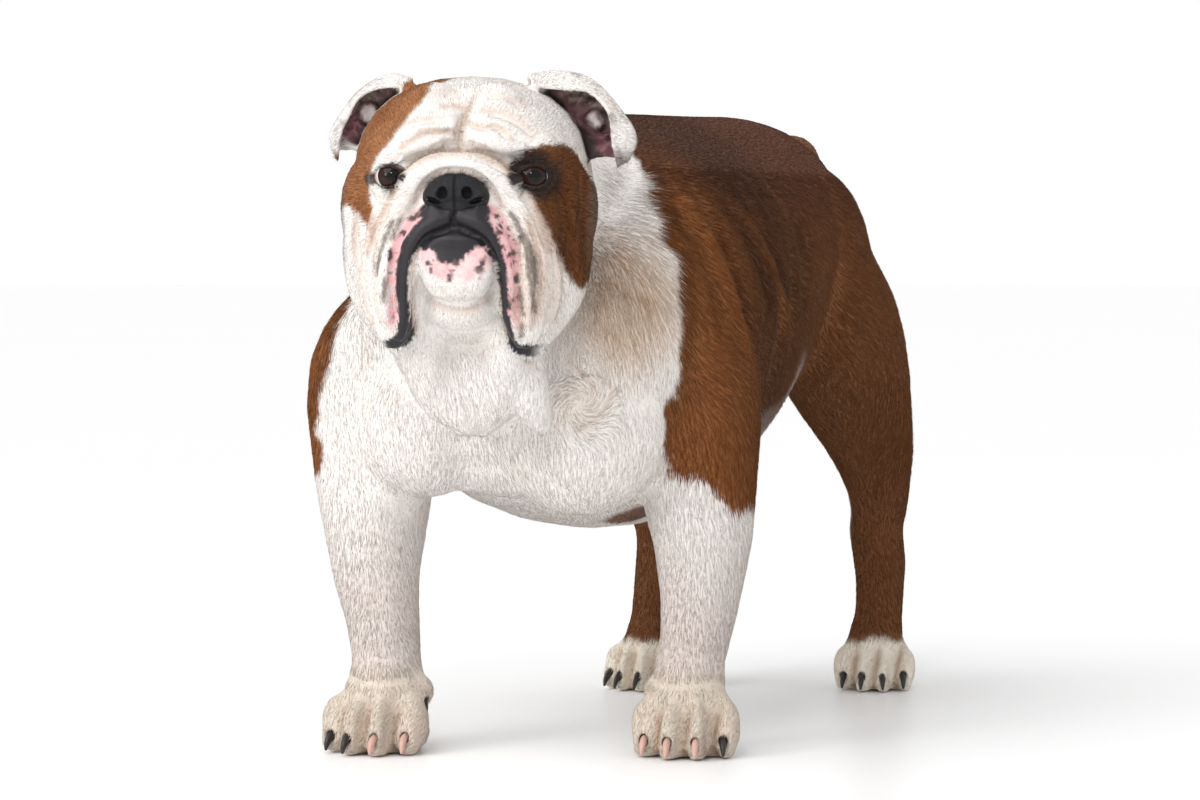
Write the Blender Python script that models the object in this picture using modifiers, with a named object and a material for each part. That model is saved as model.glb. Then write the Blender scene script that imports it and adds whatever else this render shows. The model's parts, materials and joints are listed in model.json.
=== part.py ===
"""A standing bulldog, life size, for Blender 4.5.

Frame: +X is the dog's left, -Y is the way it faces, +Z is up, and the origin is on the floor under
the middle of the dog. Sizes are in millimetres and become metres in one step at the end. The body
is modelled whole, from the masses that an artist would block in, and parted with thin cuts.
"""

import math

import bmesh
import bpy
import numpy as np
from mathutils import Matrix, Vector

# Driving sizes, in millimetres. The tables below give the stance on which they act.
LIFE_SCALE = 0.94  # real size over the tables' size
GAP = 0.32  # between touching pieces
BODY_VOXEL = 3.0  # the grain at which the masses melt together
BODY_FACES = 6360  # triangles of the whole body before it is parted

NOSE_TIP = (29.0, -358.0, 376.0)  # the origin of the head's own frame
HEAD_TURN = 20.0  # degrees that the head is turned to the dog's left

EYE_RADIUS = 11.5
EYE_CENTRE = (44.5, 36.0, 8.5)  # of the left eye, in the head's frame
EYE_LOOK_OUT = 16.0  # degrees that each eye looks away from straight ahead
EYE_SLIT = (10.0, 6.6)  # half width and half height of the opening between the lids

EAR_THICK = 3.2
# Rows from the skull to the outer end of each ear. A row runs from the root over the cup's floor to the
# fold and on to the hanging flap's edge, in the head's frame: out from the midline, back and up.
EAR_LEFT = (
    ((34, 72, 52), (36, 77, 61), (37, 80, 72.5), (41, 73, 66)),
    ((46, 82, 54), (52, 90, 62), (58, 88, 75.5), (59, 76, 64)),
    ((54, 90, 46), (66, 98, 58), (77, 92, 70), (76, 79, 62.5)),
    ((62, 92, 36), (80, 98, 46), (94, 90, 52.5), (88.5, 77, 49.5)),
    ((70, 90, 26), (88, 94, 34), (105, 84, 35), (91.5, 72, 32)),
    ((72, 86, 18), (86, 88, 23), (100, 78, 19), (95, 69, 13)),
)
EAR_RIGHT = (
    ((34, 72, 52), (36, 77, 61), (36, 80, 74), (40, 73, 68)),
    ((44, 82, 54), (50, 90, 64), (54, 88, 77), (57, 78, 68)),
    ((50, 90, 46), (60, 98, 58), (72, 91, 67.5), (73, 79, 62.5)),
    ((56, 92, 36), (70, 98, 46), (85, 88, 52), (81, 77, 48)),
    ((60, 90, 28), (76, 94, 34), (92, 83, 38), (85, 72, 34)),
    ((62, 86, 22), (74, 88, 26), (89, 77, 25), (86, 70, 18)),
)

FORE_LEFT = (95.0, -140.0)  # where each pastern stands, and how far its paw turns out
FORE_RIGHT = (-98.0, -209.0)
HIND_LEFT = (69.0, 278.0)
HIND_RIGHT = (-86.0, 207.0)
TOE_OUT = {"fore_left": 17.0, "fore_right": 6.0, "hind_left": 17.0, "hind_right": -4.0}

COLOURS = {
    "coat_white": ((0.86, 0.82, 0.78, 1.0), 0.85),
    "coat_brown": ((0.22, 0.09, 0.04, 1.0), 0.85),
    "nose_leather": ((0.02, 0.018, 0.02, 1.0), 0.4),
    "lip_skin": ((0.75, 0.45, 0.42, 1.0), 0.5),
    "eye_glass": ((0.05, 0.02, 0.012, 1.0), 0.05),
    "claw_horn": ((0.07, 0.055, 0.05, 1.0), 0.4),
}


def clear_scene():
    for obj in list(bpy.data.objects):
        bpy.data.objects.remove(obj)


def collection(name):
    made = bpy.data.collections.new(name)
    bpy.context.scene.collection.children.link(made)
    return made


def material(name, colour, roughness):
    made = bpy.data.materials.new(name)
    made.use_nodes = True
    shader = made.node_tree.nodes["Principled BSDF"]
    shader.inputs["Base Color"].default_value = colour
    shader.inputs["Roughness"].default_value = roughness
    shader.inputs["Metallic"].default_value = 0.0
    return made


def head_frame():
    """Head millimetres (x to the dog's left, y back, z up, from the nose tip) to stance millimetres."""
    return Matrix.Translation(NOSE_TIP) @ Matrix.Rotation(math.radians(HEAD_TURN), 4, "Z")


def through(keys, rows, at):
    """Rows of numbers run smoothly through their keys, read at other keys."""
    keys = np.asarray(keys, float)
    rows = np.asarray(rows, float)
    steps = np.diff(keys)[:, None]
    slopes = np.diff(rows, axis=0) / steps
    lean = np.empty_like(rows)
    lean[0], lean[-1] = slopes[0], slopes[-1]
    lean[1:-1] = (slopes[:-1] * steps[1:] + slopes[1:] * steps[:-1]) / (steps[:-1] + steps[1:])
    at = np.asarray(at, float)
    i = np.clip(np.searchsorted(keys, at, side="right") - 1, 0, len(keys) - 2)
    h = steps[i]
    t = (at[:, None] - keys[i][:, None]) / h
    return (
        rows[i] * (1 + 2 * t) * (1 - t) ** 2
        + rows[i + 1] * t * t * (3 - 2 * t)
        + lean[i] * h * t * (1 - t) ** 2
        - lean[i + 1] * h * t * t * (1 - t)
    )


def mesh_object(name, vertices, faces, home):
    mesh = bpy.data.meshes.new(name)
    mesh.from_pydata([tuple(v) for v in vertices], [], faces)
    obj = bpy.data.objects.new(name, mesh)
    home.objects.link(obj)
    return obj


def loft(name, rings, home, matrix=None, sides=28):
    """A closed skin over rings: centre, sideways half, upper and lower halves, and squareness."""
    vertices, faces = [], []
    for centre, side, rise, fall, square in rings:
        for k in range(sides):
            angle = 2 * math.pi * k / sides
            c, s = math.cos(angle), math.sin(angle)
            across = math.copysign(abs(c) ** (2 / square), c)
            along = abs(s) ** (2 / square)
            half = rise if s >= 0 else fall
            vertices.append(np.asarray(centre) + np.asarray(side) * across + np.asarray(half) * along)
    for i in range(len(rings) - 1):
        for k in range(sides):
            a, b = i * sides + k, i * sides + (k + 1) % sides
            faces.append((a, b, b + sides, a + sides))
    faces.append(tuple(reversed(range(sides))))
    faces.append(tuple(range((len(rings) - 1) * sides, len(rings) * sides)))
    obj = mesh_object(name, vertices, faces, home)
    if matrix:
        obj.data.transform(matrix)
    face_out(obj)
    return obj


def face_out(obj):
    shape = bmesh.new()
    shape.from_mesh(obj.data)
    bmesh.ops.recalc_face_normals(shape, faces=shape.faces)
    shape.to_mesh(obj.data)
    shape.free()


def tube(name, points, radii, home, matrix=None, flat=1.0, lie=(0.0, 1.0, 0.0), steps=7, sides=28):
    """A round-ended roll through points. flat thins it along lie, as a hanging fold is thin."""
    keys = range(len(points))
    rows = [(*p, r) for p, r in zip(points, radii)]
    count = steps * (len(points) - 1) + 1
    ends = (0.97, 0.75, 0.4) if steps > 2 else (0.8,)
    path = through(keys, rows, np.linspace(0, len(points) - 1, count))
    centres, wide = path[:, :3], path[:, 3]
    along = np.gradient(centres, axis=0)
    along /= np.linalg.norm(along, axis=1)[:, None]
    lie = np.asarray(lie, float)
    rings = []
    for share in ends:
        start = centres[0] - along[0] * wide[0] * share
        rings.append((start, along[0], wide[0] * math.sqrt(1 - share**2)))
    rings += [(c, a, w) for c, a, w in zip(centres, along, wide)]
    for share in reversed(ends):
        end = centres[-1] + along[-1] * wide[-1] * share
        rings.append((end, along[-1], wide[-1] * math.sqrt(1 - share**2)))
    sections = []
    for centre, way, radius in rings:
        thin = lie - way * (lie @ way)
        thin /= np.linalg.norm(thin)
        side = np.cross(way, thin)
        sections.append((centre, side * radius, thin * radius * flat, -thin * radius * flat, 2.0))
    return loft(name, sections, home, matrix, sides)


def ball(name, centre, radii, home, matrix=None, tilt=(0, 0, 0), fine=20):
    """An egg of the given half sizes, turned by tilt, in degrees about x, y and z."""
    shape = bmesh.new()
    bmesh.ops.create_uvsphere(shape, u_segments=fine, v_segments=fine // 2 + 2, radius=1.0)
    mesh = bpy.data.meshes.new(name)
    shape.to_mesh(mesh)
    shape.free()
    turn = Matrix.Rotation(math.radians(tilt[2]), 4, "Z")
    turn = turn @ Matrix.Rotation(math.radians(tilt[1]), 4, "Y")
    turn = turn @ Matrix.Rotation(math.radians(tilt[0]), 4, "X")
    place = Matrix.Translation(centre) @ turn @ Matrix.Diagonal((*radii, 1.0))
    mesh.transform(matrix @ place if matrix else place)
    obj = bpy.data.objects.new(name, mesh)
    home.objects.link(obj)
    return obj


def both_sides(make, name, points, *args, **options):
    """The same roll or egg on the left and on the right of the head's midline."""
    for side, sign in (("left", 1), ("right", -1)):
        if isinstance(points[0], (tuple, list)):
            mirrored = [(sign * x, y, z) for x, y, z in points]
        else:
            mirrored = (sign * points[0], points[1], points[2])
        turned = dict(options)
        if "tilt" in options:
            x, y, z = options["tilt"]
            turned["tilt"] = (x, sign * y, sign * z)
        if "lie" in options:
            x, y, z = options["lie"]
            turned["lie"] = (sign * x, y, z)
        make(f"{name}_{side}", mirrored, *args, **turned)


def torso_mass(home):
    """Deep, broad barrel with a tucked loin: y, then x, height, half width, rise, fall and squareness."""
    table = (
        (-256, -14, 264, 26, 26, 26, 2.0),
        (-247, -14, 263, 64, 54, 54, 2.0),
        (-225, -14, 270, 100, 84, 88, 2.1),
        (-180, -12, 282, 122, 112, 114, 2.2),
        (-120, -9, 290, 133, 132, 142, 2.15),
        (-50, -6, 296, 130, 137, 153, 2.05),
        (20, -4, 304, 120, 131, 146, 1.9),
        (90, -3, 322, 108, 114, 124, 1.95),
        (150, -4, 334, 98, 103, 100, 2.0),
        (190, -4, 336, 89, 97, 94, 1.95),
        (225, -4, 331, 79, 90, 88, 1.95),
        (252, -4, 322, 66, 74, 78, 1.95),
        (272, -4, 314, 46, 50, 56, 2.0),
        (283, -4, 308, 18, 22, 24, 2.0),
    )
    keys = [row[0] for row in table]
    at = np.linspace(keys[0], keys[-1], 40)
    rings = []
    for y, (x, height, wide, rise, fall, square) in zip(at, through(keys, [r[1:] for r in table], at)):
        rings.append(((x, y, height), (wide, 0, 0), (0, 0, rise), (0, 0, -fall), square))
    loft("barrel", rings, home)


def neck_mass(home):
    """Short, thick, arched neck from the withers to the back of the head."""
    table = (
        (0.0, 0, -20, 318, 96, 96, 96),
        (0.45, -10, -110, 332, 98, 92, 104),
        (0.8, -17, -175, 350, 84, 80, 110),
        (1.0, -22, -225, 360, 70, 68, 96),
    )
    keys = [row[0] for row in table]
    path = through(keys, [r[1:] for r in table], np.linspace(0, 1, 14))
    way = np.gradient(path[:, :3], axis=0)
    way /= np.linalg.norm(way, axis=1)[:, None]
    rings = []
    for (x, y, z, wide, rise, fall), along in zip(path, way):
        side = np.cross((0, 0, 1.0), along)
        side /= np.linalg.norm(side)
        over = np.cross(along, side)
        rings.append(((x, y, z), side * wide, over * rise, -over * fall, 2.1))
    loft("neck", rings, home)


def leg_mass(name, foot, table, home):
    """An upright limb: height, then x and y from the pastern, half width, front and back halves."""
    table = sorted(table)
    keys = [row[0] for row in table]
    at = np.linspace(keys[0], keys[-1], 34)
    rings = []
    for z, (x, y, wide, front, back) in zip(at, through(keys, [r[1:] for r in table], at)):
        centre = (foot[0] + x, foot[1] + y, z)
        rings.append((centre, (wide, 0, 0), (0, back, 0), (0, -front, 0), 2.15))
    loft(name, rings, home)


def fore_table(side):
    """side is 1 on the left and -1 on the right. Elbows stand out and the forearm is stout."""
    return (
        (330, side * -16 - 8, 14, 8, 10, 10),
        (322, side * -14 - 8, 14, 19, 24, 26),
        (305, side * -9 - 10, 13, 32, 42, 46),
        (275, -11, 12, 41, 56, 60),
        (240, side * 7 - 11, 13, 43, 54, 58),
        (205, side * 9 - 11, 15, 41, 48, 52),
        (172, side * 9 - 9, 13, 38.5, 42, 46),
        (140, side * 10 - 5, 9, 33.5, 36, 37),
        (112, side * 9 - 3, 5, 29, 30.5, 31),
        (85, side * 5, 1, 25.5, 27, 27.5),
        (62, side, -1, 24, 26.5, 26),
        (42, 0, -5, 26, 31, 26),
        (24, 0, -10, 29, 36, 27),
        (9, 0, -14, 29, 36, 26),
    )


def hind_table(side):
    """Strong thigh, stifle turned a little out, hock low and near upright."""
    return (
        (385, -side * 34, -113, 34, 48, 48),
        (345, -side * 20, -112, 46, 78, 66),
        (300, -side * 1, -110, 50, 88, 74),
        (255, side * 6, -92, 48, 82, 66),
        (215, side * 6, -58, 40, 62, 54),
        (182, side * 6, -28, 30, 48, 46),
        (154, side * 4, -7, 23.5, 36, 34),
        (137, side * 1, 1, 21.5, 29, 31),
        (122, -side * 3, 6, 20.5, 26, 29),
        (98, -side * 1, 8, 20.5, 23, 26),
        (72, side * 1, 4, 18.5, 22, 23),
        (50, side * 1, 0, 19, 25, 22.5),
        (35, side * 1, -5, 21.5, 30, 23),
        (22, side * 1, -9, 25, 33, 23),
        (9, 0, -12, 25, 32, 23),
    )


def toe_places(kind):
    """Each toe's sideways and forward place from the pastern, and its turn, for a broad round paw."""
    spread = 1.0 if kind == "fore" else 0.86
    return [
        (spread * x, spread * y, turn)
        for x, y, turn in ((-26.5, -24, -14), (-9.5, -37, -4), (9.5, -37, 4), (26.5, -24, 14))
    ]


def paw_frame(leg, foot):
    return Matrix.Translation((*foot, 0)) @ Matrix.Rotation(math.radians(TOE_OUT[leg]), 4, "Z")


def paw_masses(leg, foot, home):
    """Four thick, high-knuckled toes and the pad behind them, resting flat on the floor."""
    kind = leg.split("_")[0]
    big = 1.0 if kind == "fore" else 0.87
    place = paw_frame(leg, foot)
    ball(f"{leg}_pad", (0, -12, 12), (33 * big, 36 * big, 18 * big), home, place)
    ball(f"{leg}_instep", (0, -10, 32 * big), (30 * big, 26 * big, 22 * big), home, place)
    for k, (x, y, turn) in enumerate(toe_places(kind)):
        size = (10.5 * big, 19 * big, 20 * big)
        ball(f"{leg}_toe_{k}", (x, y + 4, 20 * big), size, home, place, (18, 0, turn))
        size = (9.5 * big, 11 * big, 13 * big)
        ball(f"{leg}_toe_tip_{k}", (x, y - 8, 10 * big), size, home, place, (0, 0, turn))
    if kind == "fore":
        side = 1 if leg.endswith("left") else -1
        ball(f"{leg}_dew_toe", (-side * 25, 0, 40), (8, 10, 12), home, place, (16, 0, 0))


def shoulder_masses(home):
    ball("shoulder_left", (82, -116, 268), (46, 64, 92), home, None, (-12, -16, 0))
    ball("shoulder_right", (-113, -180, 254), (45, 60, 84), home, None, (-12, 20, 0))
    ball("breast_left", (40, -196, 220), (62, 48, 60), home, None, (0, 0, 12))
    ball("breast_right", (-70, -214, 224), (60, 44, 54), home, None, (0, 0, -12))
    ball("throat_root", (-18, -238, 302), (64, 58, 74), home)
    ball("croup", (-3, 182, 364), (70, 66, 64), home)
    for side, y in ((1, 0), (-1, -22)):
        ball(f"haunch_{side}", (side * 60 - 4, 160 + y, 320), (48, 74, 84), home)
        ball(f"buttock_{side}", (side * 42 - 3, 222 + y, 302), (42, 54, 68), home)
    for foot, word in ((HIND_LEFT, "left"), (HIND_RIGHT, "right")):
        side = 1 if word == "left" else -1
        buttock = (side * 44 - 3, 0.5 * foot[1] + 88, 296)
        thigh = (side * 62 - 3, foot[1] - 34, 240)
        stifle = (foot[0], foot[1] - 26, 190)
        tube(f"hamstring_{word}", (buttock, thigh, stifle), (44, 35, 23), home)


def tail_masses(home):
    """A short thick tail stub, set high behind the croup."""
    tube(
        "tail",
        ((-2, 226, 398), (2, 252, 409), (8, 268, 412), (16, 274, 404)),
        (20, 17, 14, 9),
        home,
    )


def skull_mass(home, head):
    """Broad skull, flat between the ears: back, height, half width, rise, fall, squareness."""
    table = (
        (22, 16, 30, 24, 24, 2.0),
        (28, 15, 46, 36, 33, 2.3),
        (40, 12, 60, 51, 46, 2.4),
        (60, 8, 71, 63, 55, 2.4),
        (86, 5, 77, 70, 60, 2.3),
        (116, 3, 78, 71, 66, 2.3),
        (148, 0, 74, 69, 72, 2.2),
        (178, -4, 66, 60, 74, 2.1),
    )
    keys = [row[0] for row in table]
    at = np.linspace(keys[0], keys[-1], 26)
    rings = []
    for y, (height, wide, rise, fall, square) in zip(at, through(keys, [r[1:] for r in table], at)):
        rings.append(((0, y, height), (wide, 0, 0), (0, 0, rise), (0, 0, -fall), square))
    loft("skull", rings, home, head)


def flew_rings():
    """One hanging upper lip: height, the centre across and back, its half sizes across and back."""
    table = (
        (-102, 42, 22, 4, 4),
        (-96, 42, 22, 9, 8),
        (-84, 42, 21, 13.5, 11.5),
        (-66, 42, 22.5, 17, 14.5),
        (-46, 41, 24, 21, 16.5),
        (-26, 39, 26, 22, 17),
        (-6, 35, 26, 19, 16),
        (8, 26, 22, 15, 12),
        (17, 18, 20, 8, 7),
    )
    keys = [row[0] for row in table]
    at = np.linspace(keys[0], keys[-1], 26)
    return list(zip(at, through(keys, [r[1:] for r in table], at)))


def face_masses(home, head):
    """Cheeks, short wide muzzle, the roll over the nose and the thick hanging lips."""
    both_sides(ball, "cheek", (57, 76, -16), (27, 38, 42), home, head, tilt=(0, 8, 0))
    both_sides(ball, "cheek_fold", (66, 54, -24), (13, 12, 36), home, head, tilt=(0, 6, 0))
    both_sides(ball, "brow", (27, 33, 34), (25, 15, 14), home, head, tilt=(0, 14, 12))
    both_sides(ball, "brow_tail", (52, 38, 27), (15, 12, 10), home, head, tilt=(0, 28, 20))
    both_sides(ball, "forehead", (21, 52, 54), (21, 22, 15), home, head, tilt=(-20, 8, 0))
    ball("muzzle", (0, 31, -12), (44, 24, 30), home, head)
    both_sides(ball, "lip_pad", (13, 10, -19), (15, 13, 10), home, head, tilt=(0, 20, 14))
    lip = ((4, 8, -16), (14, 6, -21), (25, 6.5, -31), (32, 9, -47), (35.5, 12, -66), (37, 15, -84))
    both_sides(tube, "upper_lip", lip, (6.5, 8.5, 9, 8.5, 8, 7), home, head)
    roll = ((-1, 12, 15.5), (15, 13, 14), (28, 18, 5), (40, 23, -12), (50, 27, -34), (55, 30, -58))
    both_sides(tube, "nose_roll", roll, (8.5, 8.5, 8.5, 9.5, 10, 8), home, head)
    for sign in (1, -1):
        rings = []
        for z, (x, y, wide, deep) in flew_rings():
            rings.append(((sign * x, y, z), (wide, 0, 0), (0, deep, 0), (0, -deep, 0), 2.2))
        loft(f"flew_{sign}", rings, home, head)
    fold = ((61, 44, -30), (62, 44, -54), (57, 42, -78))
    both_sides(tube, "flew_fold", fold, (9, 9, 6), home, head)
    jowl = ((62, 66, -36), (58, 62, -60), (48, 58, -80), (38, 62, -98))
    both_sides(tube, "jowl", jowl, (20, 20, 18, 13), home, head)
    both_sides(ball, "eye_bed", (45, 35, 8), (18, 15.5, 14.5), home, head)
    ball("chin_skin", (0, 31, -73), (26, 19, 16), home, head)
    ball("throat", (0, 70, -60), (52, 52, 42), home, head)
    dewlap = ((27, 46, -82), (27, 50, -106), (20, 60, -130), (8, 80, -150))
    both_sides(tube, "dewlap", dewlap, (14, 16, 15, 12), home, head)
    ball("dewlap_root", (0, 88, -112), (46, 40, 46), home, head)


def jaw_masses(home, head):
    """The undershot lower jaw: a broad chin turned up before the lips, and its root between them."""
    rings = []
    table = (
        (-70, 8, 6, 8),
        (-67, 17, 12, 14),
        (-60, 22, 16, 18),
        (-48, 26, 17.5, 20),
        (-36, 27.5, 16, 20),
        (-28, 25, 13, 18),
        (-24, 18, 8, 12),
    )
    for z, wide, front, back in table:
        rings.append(((0.5, 12, z), (wide, 0, 0), (0, back, 0), (0, -front, 0), 2.4))
    loft("chin", rings, home, head)
    ball("lower_lip", (0.5, 7, -32), (23, 12.5, 7.5), home, head)
    ball("jaw_root", (0, 34, -50), (24, 26, 18), home, head)


def nose_masses(home, head):
    """Broad, low nose, set back between the eyes, with open wings and a narrow strip down to the lip."""
    ball("nose_body", (0, 6, 0), (17.5, 10, 11), home, head)
    both_sides(ball, "nose_wing", (13, 7, -4.5), (8.5, 8.5, 8.5), home, head)
    ball("nose_base", (0, 6, -11), (10, 7.5, 7), home, head)
    ball("nose_strip", (0, 5.5, -18), (4.5, 5, 7), home, head)


def nostrils(nose, head, home):
    """Each nostril is a round opening drawn out into a slit toward the wing."""
    both_sides(ball, "nostril", (8.6, -4, -2.6), (4.0, 9, 4.6), home, head, tilt=(10, -18, 12), fine=10)
    slit = (5.8, 7.5, 2.0)
    both_sides(ball, "wing_slit", (14.2, -1.5, -7.2), slit, home, head, tilt=(0, -22, 24), fine=10)
    for name in ("nostril_left", "nostril_right", "wing_slit_left", "wing_slit_right"):
        nose = cut(nose, hidden(bpy.data.objects[name]), home)
    return nose


def ear_sheet(side, home, head):
    """A folded ear of real thickness, as one sheet through its rows."""
    columns = np.array(EAR_LEFT if side > 0 else EAR_RIGHT, float)
    columns[:, :, 0] *= side
    across = np.linspace(0, len(columns) - 1, 12)
    out = np.linspace(0, 3, 8)
    rows = through(range(len(columns)), columns.reshape(len(columns), -1), across)
    rows = rows.reshape(len(across), 4, 3)
    sheet = np.array([through(range(4), column, out) for column in rows])
    count, long = sheet.shape[:2]
    faces = []
    for i in range(count - 1):
        for k in range(long - 1):
            a = i * long + k
            faces.append((a, a + 1, a + long + 1, a + long))
    name = "ear_left" if side > 0 else "ear_right"
    ear = mesh_object(name, sheet.reshape(-1, 3), faces, home)
    ear.data.transform(head)
    thick = ear.modifiers.new("thick", "SOLIDIFY")
    thick.thickness = EAR_THICK
    thick.offset = 0.0
    thick.use_even_offset = True
    ear = applied(ear, home)
    face_out(ear)
    return ear


def claw_path(x, y):
    """From inside the toe, out of its front and down to just over the floor, in the paw's frame."""
    return (
        ((x, y + 7, 13.5), (x, y - 1, 12.0), (x * 1.02, y - 5.2, 8.0), (x * 1.03, y - 6.6, 3.8)),
        (3.2, 3.6, 3.0, 1.6),
    )


def claw_masses(leg, foot, home):
    """Four short blunt claws on a paw, and a dewclaw inside each foreleg."""
    kind = leg.split("_")[0]
    big = 1.0 if kind == "fore" else 0.87
    place = paw_frame(leg, foot)
    claws = []
    for k, (x, y, turn) in enumerate(toe_places(kind)):
        points, radii = claw_path(x, y - 15 * big)
        name = f"claw_{leg}_{k + 1}"
        radii = [big * r for r in radii]
        tube(name, points, radii, home, place, lie=(1.0, 0.0, 0.0), flat=0.8, steps=1, sides=6)
        claws.append(name)
    if kind == "fore":
        side = 1 if leg.endswith("left") else -1
        x = -side * 27
        points = ((x * 0.9, 2, 42), (x, -3, 36), (x * 1.12, -8, 29), (x * 1.13, -10, 23))
        name = f"dewclaw_{leg}"
        radii = (2.6, 2.9, 2.3, 0.9)
        tube(name, points, radii, home, place, lie=(1.0, 0.0, 0.0), flat=0.8, steps=1, sides=6)
        claws.append(name)
    return claws


def hidden(obj):
    obj.hide_render = True
    obj.display_type = "WIRE"
    return obj


def applied(obj, home):
    """A plain mesh object made from obj with its modifiers worked in. obj is removed."""
    bpy.context.view_layer.update()
    graph = bpy.context.evaluated_depsgraph_get()
    mesh = bpy.data.meshes.new_from_object(obj.evaluated_get(graph))
    name = obj.name
    mesh.transform(obj.matrix_world)
    bpy.data.objects.remove(obj)
    made = bpy.data.objects.new(name, mesh)
    home.objects.link(made)
    return made


def melt(name, pieces, voxel, rounds, home):
    """Fuses overlapping masses into one skin and relaxes it, so that each runs into the next."""
    shape = bmesh.new()
    for piece in list(pieces.objects):
        shape.from_mesh(piece.data)
        bpy.data.objects.remove(piece)
    mesh = bpy.data.meshes.new(name)
    shape.to_mesh(mesh)
    shape.free()
    obj = bpy.data.objects.new(name, mesh)
    home.objects.link(obj)
    fuse = obj.modifiers.new("fuse", "REMESH")
    fuse.mode = "VOXEL"
    fuse.voxel_size = voxel
    obj = applied(obj, home)
    keep_largest(obj)
    relax(obj, rounds)
    return obj


def islands_of(shape):
    """The vertices of each joined part of a bmesh, the smallest part first."""
    left, islands = set(shape.verts), []
    while left:
        stack = [left.pop()]
        island = set(stack)
        while stack:
            for edge in stack.pop().link_edges:
                for vertex in edge.verts:
                    if vertex in left:
                        left.discard(vertex)
                        island.add(vertex)
                        stack.append(vertex)
        islands.append(island)
    return sorted(islands, key=len)


def keep_largest(obj):
    """Drops every loose scrap and sealed hollow, so that one closed surface is left."""
    shape = bmesh.new()
    shape.from_mesh(obj.data)
    for island in islands_of(shape)[:-1]:
        bmesh.ops.delete(shape, geom=list(island), context="VERTS")
    shape.to_mesh(obj.data)
    shape.free()


def coordinates(mesh):
    flat = np.empty(len(mesh.vertices) * 3, np.float64)
    mesh.vertices.foreach_get("co", flat)
    return flat.reshape(-1, 3)


def normals_of(mesh):
    flat = np.empty(len(mesh.vertices) * 3, np.float32)
    mesh.vertices.foreach_get("normal", flat)
    return flat.reshape(-1, 3).astype(float)


def set_coordinates(mesh, points):
    mesh.vertices.foreach_set("co", np.asarray(points, np.float32).ravel())
    mesh.update()


def relax(obj, rounds, hold=None):
    """Evens the surface. hold is 0 where it relaxes freely and 1 where it stays."""
    mesh = obj.data
    ends = np.empty(len(mesh.edges) * 2, np.int32)
    mesh.edges.foreach_get("vertices", ends)
    ends = ends.reshape(-1, 2)
    points = coordinates(mesh)
    count = np.bincount(ends.ravel(), minlength=len(points))[:, None]
    free = 1.0 if hold is None else (1 - hold)[:, None]
    for _ in range(rounds):
        for step in (0.6, -0.42):
            total = np.zeros_like(points)
            for axis in range(3):
                total[:, axis] = np.bincount(ends[:, 0], points[ends[:, 1], axis], len(points))
                total[:, axis] += np.bincount(ends[:, 1], points[ends[:, 0], axis], len(points))
            points += step * free * (total / count - points)
    set_coordinates(mesh, points)


def furrows(obj, frame, view, strokes):
    """Presses or raises lines in the skin. Each stroke is a list of points in the view's plane, a half width,
    a depth (negative is a raised fold) and the depth range of skin that it may touch."""
    mesh = obj.data
    points = coordinates(mesh)
    normals = normals_of(mesh)
    inverse = np.array(frame.inverted())
    local = points @ inverse[:3, :3].T + inverse[:3, 3]
    facing = normals @ inverse[:3, :3].T
    across, high, deep, sign = view
    flat = local[:, [across, high]]
    faces_view = np.clip(facing[:, deep] * sign * 2.5, 0, 1)
    shift = np.zeros(len(points))
    for line, width, depth, (near, far) in strokes:
        line = np.asarray(line, float)
        line = through(range(len(line)), line, np.linspace(0, len(line) - 1, 6 * len(line)))
        best = np.full(len(points), np.inf)
        fade = np.ones(len(points))
        for i in range(len(line) - 1):
            step = line[i + 1] - line[i]
            t = np.clip(((flat - line[i]) @ step) / max(step @ step, 1e-9), 0, 1)
            gap = np.linalg.norm(flat - line[i] - t[:, None] * step, axis=1)
            closer = gap < best
            best[closer] = gap[closer]
            along = (i + t) / (len(line) - 1)
            fade[closer] = np.clip(np.minimum(along, 1 - along)[closer] * 5, 0.15, 1)
        inside = (local[:, deep] > near) & (local[:, deep] < far)
        shift += inside * faces_view * fade * -depth * np.exp(-((best / width) ** 2))
    set_coordinates(mesh, points + normals * shift[:, None])


FRONT = (0, 2, 1, -1)  # across, high and deep axes, and the sign of a normal that faces the view
LEFT_SIDE = (1, 2, 0, 1)
RIGHT_SIDE = (1, 2, 0, -1)


def face_folds(obj, head):
    """The furrows that read from a step away: brow, stop, lips and the creases beside the nose roll."""
    front = (-20, 75)
    strokes = [
        (((0, 60), (1, 44), (-2, 30), (-1, 19)), 4, 4.5, front),
        (((-26, 47), (-12, 44), (0, 48), (12, 46), (26, 49)), 3.6, 2.4, front),
        (((-30, 64), (-12, 60), (2, 62), (14, 60), (30, 65)), 3.6, 1.6, (-20, 95)),
        (((-0.5, -14), (-0.5, -25)), 2.2, 4.0, (-20, 40)),
    ]
    for side in (1, -1):
        strokes += [
            (((side * 3, 26.5), (side * 15, 24.5), (side * 26, 19), (side * 35, 6)), 3.4, 4.0, front),
            (((side * 40, -6), (side * 55, -20), (side * 64, -46)), 4.0, 4.5, front),
            (((side * 23, 2), (side * 33, -14), (side * 40, -36), (side * 43, -62)), 3.2, 3.2, front),
            (((side * 60, 6), (side * 71, -18), (side * 72, -50)), 4.2, 3.2, (-20, 95)),
            (((side * 36, 24), (side * 47, 23.5), (side * 58, 17)), 2.6, 1.8, front),
        ]
    furrows(obj, head, FRONT, strokes)


def toe_grooves(obj):
    for leg, foot in legs():
        spread = 1.0 if leg.startswith("fore") else 0.86
        strokes = []
        for x in (-18.0, 0.0, 18.0):
            line = ((spread * x * 0.7, spread * 44), (spread * x, spread * 26), (spread * x * 1.04, 1))
            strokes.append((line, 2.4, 3.6, (-90, 6)))
        furrows(obj, paw_frame(leg, foot), FRONT, strokes)


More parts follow.
